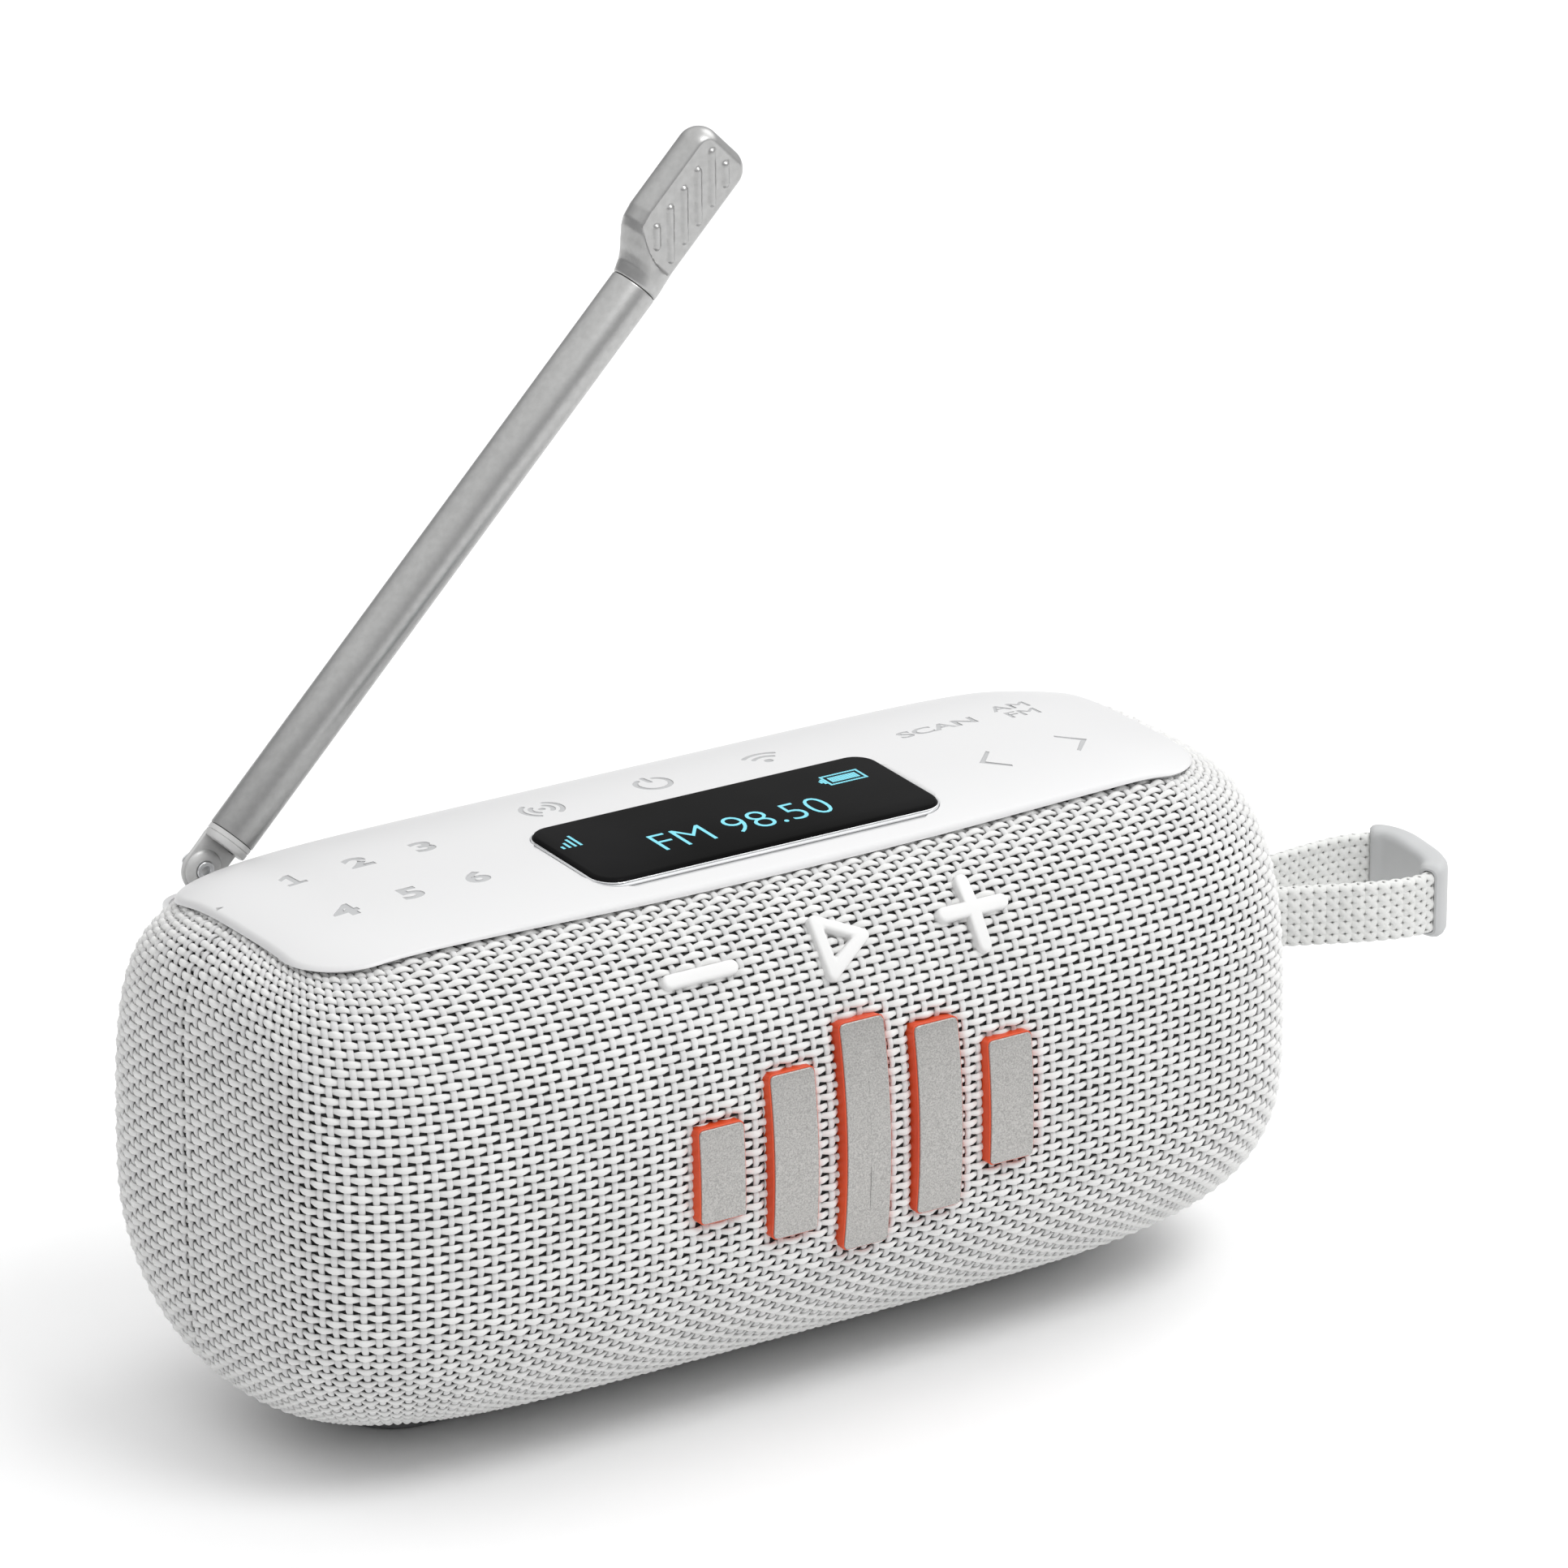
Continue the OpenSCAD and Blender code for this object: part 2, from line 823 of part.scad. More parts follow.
module antenna_turret() {
    color("silver") pin_frame() difference() {
        union() {
            translate([0, turret_y, turret_top - turret_disc])
                cylinder(r = turret_radius, h = turret_disc);
            translate([0, turret_y, pivot_base]) {
                cylinder(r = pivot_radius, h = turret_top - pivot_base);
                cylinder(r = pivot_flange[0], h = pivot_flange[1]);
            }
            translate([0, lug_y[1], 0]) rotate([90, 0, 0])
                cylinder(r = 2.9, h = lug_y[1] - lug_y[0]);
            translate([-2.9, lug_y[0], turret_top - 0.5])
                cube([5.8, lug_y[1] - lug_y[0], 0.5 - turret_top]);
        }
        translate([0, lug_y[1] + 1, 0]) rotate([90, 0, 0]) cylinder(r = rivet_radius, h = 8);
    }
}

module antenna_knuckle() {
    thick = tongue_y[1] - tongue_y[0];
    color("silver") mast_frame() difference() {
        union() {
            translate([0, 0, collar_reach - collar_height])
                cylinder(d = mast_diameter - 0.1, h = collar_height);
            cylinder_plug();
            translate([0, tongue_y[1], 0]) rotate([90, 0, 0]) cylinder(r = 3.3, h = thick);
            intersection() {
                translate([-3.3, tongue_y[0], 0]) cube([6.6, thick, collar_reach - 0.5]);
                cylinder(d = mast_diameter - 0.1, h = collar_reach);
            }
            translate([0, tongue_y[0] + 0.1, 0]) rotate([90, 0, 0])
                cylinder(r = boss_radius, h = 0.6);
        }
        translate([0, 8, 0]) rotate([90, 0, 0]) cylinder(r = rivet_radius + slip, h = 12);
    }
}

module cylinder_plug() {
    translate([0, 0, collar_reach - 0.2]) cylinder(d = mast_diameter - 2 * tube_wall, h = 7.2);
}

module antenna_rivet() {
    color("gainsboro") pin_frame() rotate([90, 0, 0]) difference() {
        union() {
            translate([0, 0, -lug_y[1] - 0.4]) cylinder(r = rivet_radius, h = lug_y[1] + 0.4);
            translate([0, 0, -0.2]) cylinder(r = rivet_radius + 0.35, h = 0.4);
            translate([0, 0, -lug_y[1] - 0.6]) cylinder(r = rivet_radius + 0.5, h = 0.58);
        }
        translate([0, 0, -3]) cylinder(r = 0.75, h = 4);
    }
}

// One telescopic stage: outer diameter, where it starts, and whether it is hollow
module stage_tube(stage, start) {
    outer = mast_diameter - stage * section_step;
    translate([0, 0, start]) difference() {
        cylinder(d = outer, h = collar_reach + mast_len - start - 0.05);
        translate([0, 0, -1]) cylinder(d = outer - 2 * tube_wall, h = mast_len + 20);
    }
}

module antenna_tube() {
    color("silver") mast_frame() translate([0, 0, collar_reach]) difference() {
        cylinder(d = mast_diameter, h = mast_len);
        translate([0, 0, -1]) cylinder(d = mast_diameter - 2 * tube_wall, h = mast_len + 2);
    }
}

module antenna_section_2() {
    color("gainsboro") mast_frame() stage_tube(1, 16);
}

module antenna_section_3() {
    color("gainsboro") mast_frame() stage_tube(2, 18);
}

module antenna_rod() {
    color("gainsboro") mast_frame() translate([0, 0, 20])
        cylinder(d = mast_diameter - 3 * section_step, h = collar_reach + mast_len - 20);
}

module antenna_grip() {
    color("silver") mast_frame() translate([0, 0, collar_reach + mast_len]) {
        cylinder(d = mast_diameter, h = 3.2);
        translate([0, grip_thickness / 2, 0]) rotate([90, 0, 0])
            linear_extrude(grip_thickness) polygon([
                [2.9, 1.2], [2.9, grip_len - 3.4], [1, grip_len - 0.6], [-1.6, grip_len],
                [-5, grip_len - 0.8], [-7.4, grip_len - 4], [-7.6, 8.2], [-3.6, 2.8], [-3, 1.2],
            ]);
    }
}

// ---------- carry loop ----------

module loop_frame() {
    translate([loop_pin_x, loop_pin_y, mid_height + loop_z]) rotate([0, 0, -loop_turn])
        children();
}

// Centre line with straight legs and a blunt tip: a runs once round the loop from the root
function squared(v) = sign(v) * pow(abs(v), 0.6);
function loop_point(a) =
    let (out = (1 - squared(cos(a))) / 2)
    [loop_reach * out, -loop_bulge * squared(sin(a)) * pow(out, 1.2)];
function loop_side(a) =
    let (d = loop_point(a + 1) - loop_point(a - 1))
    [-d[1], d[0]] / norm(d);
function loop_edge(i, off) =
    let (a = 360 * (i + 0.5) / loop_steps)
    loop_point(a) - off * loop_side(a);

// Band that follows the loop between two distances from its centre line
module loop_band(inner, outer, first = 0, last = loop_steps - 1) {
    polygon(concat(
        [for (i = [first:last]) loop_edge(i, outer)],
        [for (i = [last:-1:first]) loop_edge(i, inner)]
    ));
}

module strap_webbing() {
    half = webbing_thickness / 2;
    color("ivory") loop_frame() linear_extrude(webbing_width, center = true) difference() {
        union() {
            loop_band(-half, half, 5, loop_steps / 2);
            loop_band(-half, half, loop_steps / 2 - 1, loop_steps - 6);
            circle(loop_root);
            translate([0, -loop_root]) square([5.5, 2 * loop_root]);
        }
        circle(loop_pin_radius + 0.05);
    }
}

module strap_clasp() {
    half = webbing_thickness / 2;
    color("lightgray") loop_frame() difference() {
        linear_extrude(webbing_width + 2 * clasp_rim, center = true)
            loop_band(-half - clasp_cover, half + clasp_cover, clasp_sector[0], clasp_sector[1]);
        linear_extrude(webbing_width + 0.02, center = true)
            loop_band(-half - 0.01, half + 0.01, clasp_sector[0] - 1, clasp_sector[1] + 1);
    }
}

module strap_pin() {
    color("gray") translate([loop_pin_x, loop_pin_y, mid_height + loop_z])
        cylinder(r = loop_pin_radius, h = 17.6, center = true);
}

fabric_front();
fabric_rear();
front_housing();
rear_housing();
housing_seal();
housing_screws();
top_panel();
display_window();
display_gasket();
display_module();
key_1();
key_2();
key_3();
key_4();
key_5();
key_6();
key_broadcast();
key_power();
key_wireless();
key_scan();
key_band();
key_previous();
key_next();
key_volume_down();
key_play();
key_volume_up();
top_key_board();
top_switches();
front_key_board();
front_switches();
emblem_base();
emblem_faces();
main_board();
board_components();
battery();
battery_cradle();
driver_basket();
driver_cone();
driver_surround();
driver_magnet();
driver_dust_cap();
radiator_surround();
radiator_plate();
usb_socket();
sole();
antenna_channel();
antenna_turret();
antenna_knuckle();
antenna_rivet();
antenna_tube();
antenna_section_2();
antenna_section_3();
antenna_rod();
antenna_grip();
strap_webbing();
strap_clasp();
strap_pin();
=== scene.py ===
import json
import math

import bmesh
import bpy
import numpy as np
from mathutils import Matrix, Vector
from mathutils.geometry import delaunay_2d_cdt


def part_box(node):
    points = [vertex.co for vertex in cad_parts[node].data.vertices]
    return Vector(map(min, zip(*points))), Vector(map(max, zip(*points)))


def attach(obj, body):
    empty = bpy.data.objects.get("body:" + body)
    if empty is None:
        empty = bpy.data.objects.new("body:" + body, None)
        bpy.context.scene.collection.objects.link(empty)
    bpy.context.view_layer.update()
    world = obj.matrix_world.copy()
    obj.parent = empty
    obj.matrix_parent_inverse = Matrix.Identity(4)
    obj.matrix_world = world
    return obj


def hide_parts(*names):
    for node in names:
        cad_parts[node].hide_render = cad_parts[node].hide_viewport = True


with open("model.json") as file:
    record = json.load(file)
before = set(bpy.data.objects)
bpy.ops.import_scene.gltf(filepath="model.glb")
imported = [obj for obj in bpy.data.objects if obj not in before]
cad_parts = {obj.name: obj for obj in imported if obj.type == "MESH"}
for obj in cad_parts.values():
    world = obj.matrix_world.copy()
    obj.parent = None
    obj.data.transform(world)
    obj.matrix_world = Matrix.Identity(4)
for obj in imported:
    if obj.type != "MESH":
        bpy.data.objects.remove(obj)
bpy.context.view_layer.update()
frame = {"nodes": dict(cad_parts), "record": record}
rng = np.random.default_rng(7)

# ---------- the body's surface, in millimetres from its widest section ----------

MM = 0.001
HALF_LEN, HALF_DEPTH, CROWN, BELLY = 90.0, 43.1, 47.9, 35.1
MID = 36.6
ROUND_TOP, ROUND_BELLY = 3.23, 2.16
END_SIDE, END_TOP, END_BELLY = 5.1, 8.8, 5.0
SEAM_Y = 4.5
PANEL = {"half": 81.8, "front": -24.3, "back": 27.0, "corner": 10.0, "proud": 0.9}
FRONT_BOW, SHORT_END = 1.9, 2.4
SOLE = {"half": 72.0, "radius": 15.0}
CHANNEL = {"lo": -78.0, "hi": 69.0, "floor": 36.6, "front": 27.0}
WINDOW = {"y": -8.0, "half": (31.1, 11.7), "corner": 4.1}
FRONT_KEY = {"y": -35.4, "pitch": 24.4}
EMBLEM = {"heights": (15, 26, 36, 30, 20), "pitch": 13.0, "bar": 8.2, "z": 9.5}
LOOP = {"pin": (85.0, 10.5), "z": 6.4, "reach": 53.0, "bulge": 14.3, "turn": -9.5}
POCKET = {"from_x": 80, "half_z": 6.6, "y": (4.2, 19.5)}
USB = {"x": 58, "z": -8, "half": (7.4, 4.4), "corner": 3}
PIN = np.array([-69.2, 32.0, 42.2])
TURRET_BACK = 2.3


def to_scene(points):
    """Millimetres from the widest section, to metres in the row frame."""
    return (np.asarray(points, float) + [0, 0, MID]) * MM


def taper(x, q, reach=HALF_LEN):
    return (1 - np.minimum(np.abs(x) / reach, 1) ** q) ** (1 / q)


def crown_at(x, y, grow=0.0):
    """Height of the top surface over a point of the plan."""
    wide = (HALF_DEPTH + grow) * taper(x, END_SIDE, HALF_LEN + grow)
    tall = (CROWN + grow) * taper(x, END_TOP, HALF_LEN + grow)
    inside = np.maximum(1 - (np.abs(y) / np.maximum(wide, 1e-6)) ** ROUND_TOP, 0)
    return tall * inside ** (1 / ROUND_TOP)


def is_inside(p):
    x, y, z = p[..., 0], p[..., 1], p[..., 2]
    wide = HALF_DEPTH * taper(x, END_SIDE) + 1e-9
    top = z >= 0
    tall = np.where(top, CROWN * taper(x, END_TOP), BELLY * taper(x, END_BELLY)) + 1e-9
    power = np.where(top, ROUND_TOP, ROUND_BELLY)
    return (np.abs(y) / wide) ** power + (np.abs(z) / tall) ** power < 1


def shoot(start, direction):
    """Where rays from inside the body meet its surface."""
    direction = direction / np.linalg.norm(direction, axis=-1, keepdims=True)
    near = np.zeros(direction.shape[:-1])
    far = np.full(direction.shape[:-1], 160.0)
    for _ in range(34):
        middle = (near + far) / 2
        within = is_inside(start + direction * middle[..., None])
        near = np.where(within, middle, near)
        far = np.where(within, far, middle)
    return start + direction * near[..., None]


# ---------- curves in the plan ----------

def lengths(points):
    steps = np.linalg.norm(np.diff(points, axis=0), axis=1)
    return np.concatenate([[0], np.cumsum(steps)])


def resample(points, count):
    run = lengths(points)
    at = np.linspace(0, run[-1], count)
    return np.stack([np.interp(at, run, points[:, k]) for k in range(points.shape[1])], 1)


def dense(loop, count):
    return resample(np.concatenate([loop, loop[:1]]), count + 1)[:-1]


def body_outline(side, count):
    """Half of the widest section, from the left seam to the right one, side -1 in front."""
    turn = np.linspace(0, math.pi, 3001)
    x = -HALF_LEN * np.sign(np.cos(turn)) * np.abs(np.cos(turn)) ** (2 / END_SIDE)
    y = HALF_DEPTH * np.sin(turn) ** (2 / END_SIDE) * side
    keep = y * side > SEAM_Y * side
    line = np.stack([x, y], 1)[keep]
    return resample(np.concatenate([[[-HALF_LEN, SEAM_Y]], line, [[HALF_LEN, SEAM_Y]]]), count)


def arc(centre, radius, first, last, count=24):
    angle = np.radians(np.linspace(first, last, count))
    return np.stack([centre[0] + radius * np.cos(angle), centre[1] + radius * np.sin(angle)], 1)


def smooth_step(t):
    t = np.clip(t, 0, 1)
    return t * t * (3 - 2 * t)


def panel_bend(points, way=1):
    """The panel's front edge bows slightly and its right end stops short; way -1 undoes it."""
    x, y = points[..., 0], points[..., 1]
    short = SHORT_END * smooth_step((x - 55) / 25)
    bow = FRONT_BOW * (x / 70) ** 2 * np.clip(-y / 24, 0, 1)
    return np.stack([x - way * short, y + way * bow], axis=-1)


def panel_edge(side, grow=0.0):
    """Half of the panel's outline, from seam to seam."""
    half, corner = PANEL["half"] + grow, PANEL["corner"] + grow
    far = PANEL["front"] - grow if side < 0 else PANEL["back"] + grow
    centre_y = far - side * corner
    left = arc((-half + corner, centre_y), corner, 180, 180 - side * 90)
    line = np.concatenate([[[-half, SEAM_Y]], left])
    return panel_bend(resample(np.concatenate([line, line[::-1] * [-1, 1]]), 900))


def sole_edge(side, grow=0.0):
    radius = SOLE["radius"] + grow
    centre = SOLE["half"] - SOLE["radius"]
    start = math.degrees(math.asin(SEAM_Y / radius))
    left = arc((-centre, 0), radius, 180 - start, 180 - side * 90 if side > 0 else 270)
    return np.concatenate([left, left[::-1] * [-1, 1]])


def match(main, edge, straight):
    """Points of edge opposite each point of main: at the same x where both run straight."""
    main_run, edge = lengths(main), resample(edge, 4000)
    edge_run = lengths(edge)
    cut_main = np.interp([-straight, straight], main[:, 0], main_run)
    cut_edge = np.interp([-straight, straight], edge[:, 0], edge_run)
    knots = [0, *cut_main, main_run[-1]], [0, *cut_edge, edge_run[-1]]
    at = np.interp(main_run, *knots)
    middle = np.abs(main[:, 0]) < straight
    at[middle] = np.interp(main[middle, 0], edge[:, 0], edge_run)
    return np.stack([np.interp(at, edge_run, edge[:, k]) for k in range(2)], 1)


def half_patch(main, edge, side_z, rows, fan=140):
    """Columns of surface points from the widest section to an edge above or below it."""
    start = np.concatenate([edge, np.zeros((len(edge), 1))], 1)
    away = main - edge
    up = np.zeros_like(start)
    up[:, 2] = side_z
    height = np.abs(shoot(start, up)[:, 2])
    turn = np.linspace(0, math.pi / 2, fan)
    rays = np.empty((len(main), fan, 3))
    rays[..., :2] = away[:, None] * np.cos(turn)[None, :, None] ** 0.5
    rays[..., 2] = side_z * height[:, None] * np.sin(turn)[None] ** 0.5
    points = shoot(start[:, None], rays)
    return np.stack([resample(column, rows) for column in points])


# ---------- meshes from arrays ----------

def shade(mesh, angle=None):
    mesh.shade_smooth()
    if angle is not None:
        mesh.set_sharp_from_angle(angle=math.radians(angle))


def quad_object(name, points, quads, caps=(), material=None, body="case", uv=None):
    """An object from an array of points in scene metres, quads, and a few polygons."""
    mesh = bpy.data.meshes.new(name)
    sizes = np.concatenate([np.full(len(quads), 4), [len(c) for c in caps]]).astype(np.int32)
    corners = np.concatenate([np.ravel(quads), *caps]).astype(np.int32)
    starts = np.concatenate([[0], np.cumsum(sizes)[:-1]]).astype(np.int32)
    mesh.vertices.add(len(points))
    mesh.vertices.foreach_set("co", np.ravel(points).astype(np.float32))
    mesh.loops.add(len(corners))
    mesh.loops.foreach_set("vertex_index", corners)
    mesh.polygons.add(len(sizes))
    mesh.polygons.foreach_set("loop_start", starts)
    if uv is not None:
        layer = mesh.uv_layers.new(name="UVMap")
        layer.data.foreach_set("uv", np.ravel(uv[corners]).astype(np.float32))
    mesh.update(calc_edges=True)
    mesh.validate()
    shade(mesh)
    return add(name, mesh, material, body)


def mesh_of(name, shape):
    mesh = bpy.data.meshes.new(name)
    shape.to_mesh(mesh)
    shape.free()
    return mesh


def add(name, mesh, material, body):
    piece = bpy.data.objects.new(name, mesh)
    bpy.context.scene.collection.objects.link(piece)
    if material is not None:
        mesh.materials.clear()
        mesh.materials.append(material)
    if body is not None:
        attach(piece, body)
    return piece


def stands_for(piece, node, angle=None):
    """Shades a piece, sharp past angle if one is given, and hides the CAD node it stands for."""
    if angle is not None:
        shade(piece.data, angle)
    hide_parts(node)
    return piece


# ---------- materials ----------

def node_material(name, colour, roughness=0.5, **values):
    """A principled material whose uniform values sit on the shader's own sockets."""
    material = bpy.data.materials.new(name)
    material.use_nodes = True
    shader = material.node_tree.nodes["Principled BSDF"]
    shader.inputs["Base Color"].default_value = (*colour, 1)
    shader.inputs["Roughness"].default_value = roughness
    for key, value in values.items():
        shader.inputs[key.replace("_", " ")].default_value = value
    return material


def new_node(material, kind, **values):
    """A node for a material or a world; values are for its sockets or its own settings."""
    node = material.node_tree.nodes.new(kind)
    for key, value in values.items():
        socket = key.replace("_", " ")
        if socket in node.inputs:
            node.inputs[socket].default_value = value
        else:
            setattr(node, key, value)
    return node


def join(material, source, output, target, socket):
    material.node_tree.links.new(source.outputs[output], target.inputs[socket])


def shader_of(material):
    return material.node_tree.nodes["Principled BSDF"]


def two_tone(material, colour, other, scale, detail=4.0, contrast=(0.35, 0.65),
             socket="Base Color"):
    """Mixes two colours with noise over the object, into a socket of the shader."""
    place = new_node(material, "ShaderNodeTexCoord")
    noise = new_node(material, "ShaderNodeTexNoise", Scale=scale, Detail=detail)
    ramp = new_node(material, "ShaderNodeValToRGB")
    for element, tone, position in zip(ramp.color_ramp.elements, (colour, other), contrast):
        element.position, element.color = position, (*tone, 1)
    join(material, place, "Object", noise, "Vector")
    join(material, noise, "Fac", ramp, "Fac")
    join(material, ramp, "Color", shader_of(material), socket)
    return noise


def plain(name, colour, other, roughness, scale=60.0, bump=0.15, size=2500.0, **values):
    """Moulded plastic or rubber: a little tonal drift, fine texture, uneven gloss."""
    material = node_material(name, colour, roughness, **values)
    drift = two_tone(material, colour, other, scale)
    gloss = new_node(material, "ShaderNodeMapRange", To_Min=roughness * 0.9,
                     To_Max=min(roughness * 1.1, 1.0))
    join(material, drift, "Fac", gloss, "Value")
    join(material, gloss, "Result", shader_of(material), "Roughness")
    place = new_node(material, "ShaderNodeTexCoord")
    grain = new_node(material, "ShaderNodeTexNoise", Scale=size, Detail=3.0)
    dents = new_node(material, "ShaderNodeBump", Strength=bump, Distance=0.00004)
    join(material, place, "Object", grain, "Vector")
    join(material, grain, "Fac", dents, "Height")
    join(material, dents, "Normal", shader_of(material), "Normal")
    return material


def yarn_material(name, colour, other, twist=14.0):
    """Spun yarn: fine plied ridges that wind round it, and slight tonal drift."""
    material = node_material(name, colour, 0.78, Sheen_Weight=0.25, Sheen_Roughness=0.5)
    two_tone(material, colour, other, 160.0, detail=2.0)
    place = new_node(material, "ShaderNodeUVMap")
    turn = new_node(material, "ShaderNodeMapping", Scale=(twist, 3.0, 1.0))
    wave = new_node(material, "ShaderNodeTexWave", Scale=1.0, Distortion=1.2, Detail=1.0,
                    bands_direction="DIAGONAL")
    bump = new_node(material, "ShaderNodeBump", Strength=0.35, Distance=0.00006)
    join(material, place, "UV", turn, "Vector")
    join(material, turn, "Vector", wave, "Vector")
    join(material, wave, "Fac", bump, "Height")
    join(material, bump, "Normal", shader_of(material), "Normal")
    return material


MATERIALS = {
    "weft": yarn_material("weft_yarn", (0.80, 0.80, 0.79), (0.745, 0.745, 0.735)),
    "warp": yarn_material("warp_yarn", (0.73, 0.73, 0.725), (0.67, 0.67, 0.67), 20.0),
    "braid": yarn_material("braid_yarn", (0.73, 0.735, 0.72), (0.68, 0.685, 0.67)),
    "core": plain("webbing_core", (0.50, 0.505, 0.49), (0.42, 0.425, 0.41), 0.85),
    "housing": plain("housing_plastic", (0.035, 0.036, 0.038), (0.05, 0.05, 0.052), 0.7),
    "panel": plain("panel_plastic", (0.67, 0.67, 0.672), (0.655, 0.655, 0.657), 0.38,
                   scale=9.0, bump=0.04, Coat_Weight=0.08, Coat_Roughness=0.3),
    "glyph": plain("glyph_plastic", (0.45, 0.455, 0.46), (0.42, 0.425, 0.43), 0.6),
    "key_rubber": plain("key_rubber", (0.76, 0.76, 0.755), (0.73, 0.73, 0.725), 0.6),
    "glass": plain("display_glass", (0.005, 0.005, 0.005), (0.012, 0.012, 0.0125), 0.06,
                   scale=18.0, bump=0.0, Specular_IOR_Level=0.12, IOR=1.12),
    "lit": node_material("display_light", (0.03, 0.07, 0.08), 0.4),
    "chrome": plain("bright_chrome", (0.86, 0.87, 0.88), (0.78, 0.79, 0.80), 0.12,
                    bump=0.02, Metallic=1.0),
    "steel": plain("nickel_steel", (0.62, 0.62, 0.61), (0.52, 0.52, 0.51), 0.3, Metallic=1.0),
    "mast": plain("bead_blasted_aluminium", (0.46, 0.46, 0.456), (0.42, 0.42, 0.416), 0.34,
                  scale=900.0, bump=0.35, size=7000.0, Metallic=1.0),
    "cast": plain("satin_cast_metal", (0.60, 0.60, 0.595), (0.56, 0.56, 0.555), 0.4,
                  scale=700.0, bump=0.25, size=5000.0, Metallic=0.25),
    "scrim": plain("backing_scrim", (0.045, 0.045, 0.046), (0.07, 0.07, 0.071), 0.9),
    "emblem_base": plain("emblem_orange", (0.72, 0.085, 0.02), (0.62, 0.06, 0.015), 0.42),
    "emblem_face": plain("emblem_flake", (0.50, 0.49, 0.475), (0.33, 0.325, 0.315), 0.42,
                         scale=4200.0, bump=0.25, size=5200.0, Metallic=0.85),
    # The sole's dark grey is painted shade: its visible band stands in for the contact shadow along
    # the body's underside.
    "sole": plain("sole_rubber", (0.16, 0.162, 0.165), (0.12, 0.122, 0.125), 0.8),
    "clasp": plain("clasp_rubber", (0.50, 0.506, 0.51), (0.47, 0.477, 0.48), 0.55, bump=0.1),
    "black_rubber": plain("black_rubber", (0.02, 0.02, 0.021), (0.035, 0.035, 0.036), 0.8),
    "black_plastic": plain("black_plastic", (0.028, 0.028, 0.03), (0.04, 0.04, 0.042), 0.5),
    "board": plain("circuit_board", (0.015, 0.10, 0.045), (0.01, 0.075, 0.035), 0.4),
    "cell": plain("battery_wrap", (0.05, 0.13, 0.32), (0.04, 0.10, 0.27), 0.35),
    "cone": plain("driver_cone", (0.05, 0.05, 0.052), (0.075, 0.075, 0.078), 0.6, scale=300.0),
    "magnet": plain("ferrite_magnet", (0.06, 0.06, 0.062), (0.09, 0.09, 0.09), 0.6),
}

# The display's lit dots glow a little unevenly
LIT, LIT_BRIGHT = (0.16, 0.62, 0.74), (0.2, 0.775, 0.925)
shader_of(MATERIALS["lit"]).inputs["Emission Strength"].default_value = 1.0
two_tone(MATERIALS["lit"], LIT, LIT_BRIGHT, 700.0, 1.0, (0, 1), "Emission Color")

# What the CAD parts that stay are made of, by their material slot
SLOT_MATERIALS = {
    "housing_plastic": "housing", "black_rubber": "black_rubber", "steel": "steel",
    "circuit_board": "board", "black_plastic": "black_plastic", "battery_cell": "cell",
    "cone_plastic": "cone", "surround_rubber": "black_rubber", "magnet": "magnet",
    "panel_plastic": "panel", "display_black": "glass", "key_rubber": "key_rubber",
    "antenna_metal": "mast", "rivet_chrome": "chrome", "sole_rubber": "sole",
}


# ---------- woven fabric ----------

WARP_PITCH, WEFT_PITCH = 2.24, 1.45
YARN = {
    "weft": {"half": 0.57, "thick": 0.37, "crimp": 0.36, "steps": 6},
    "warp": {"half": 0.54, "thick": 0.29, "crimp": 0.22, "steps": 4},
}
SECTION = np.radians([0, 42, 90, 138, 180, 235, 305])
FINE, FAN = 421, 111
RINGS_PER_PIECE = 13000


def bilinear(grid, u, v):
    i = np.clip(u.astype(int), 0, grid.shape[0] - 2)
    j = np.clip(v.astype(int), 0, grid.shape[1] - 2)
    a, b = (u - i)[:, None], (v - j)[:, None]
    return ((grid[i, j] * (1 - a) + grid[i + 1, j] * a) * (1 - b)
            + (grid[i, j + 1] * (1 - a) + grid[i + 1, j + 1] * a) * b)


def unit(v):
    return v / np.maximum(np.linalg.norm(v, axis=-1, keepdims=True), 1e-12)


def sleeve_half(side, up):
    """Surface, normals and column lengths of a quarter of the sleeve."""
    main = body_outline(side, FINE)
    edge = panel_edge(side, -2.4) if up > 0 else sole_edge(side, -5.9)
    straight = 70 if up > 0 else 52
    grid = half_patch(main, match(main, edge, straight), up, FAN)
    run = np.linalg.norm(np.diff(grid, axis=1), axis=2).sum(axis=1)
    normal = unit(np.cross(np.gradient(grid, axis=0), np.gradient(grid, axis=1)))
    outward = grid - np.clip(grid, [-60, -10, -10], [60, 10, 10])
    flip = np.sign((normal * outward).sum(axis=2, keepdims=True))
    return {"grid": grid, "normal": normal * flip, "run": run, "width": lengths(main)[-1]}


def height_normal(height, x, y, step):
    """Unit normals of the surface z = height(x, y)."""
    sx = (height(x + step, y) - height(x - step, y)) / (2 * step)
    sy = (height(x, y + step) - height(x, y - step)) / (2 * step)
    return unit(np.stack([-sx, -sy, np.ones_like(x)], axis=1))


def rounded_distance(x, y, half_x, half_y, radius):
    """Distance outside a rounded rectangle, negative inside it."""
    dx = np.abs(x) - half_x + radius
    dy = np.abs(y) - half_y + radius
    outside = np.hypot(np.maximum(dx, 0), np.maximum(dy, 0))
    return outside + np.minimum(np.maximum(dx, dy), 0) - radius


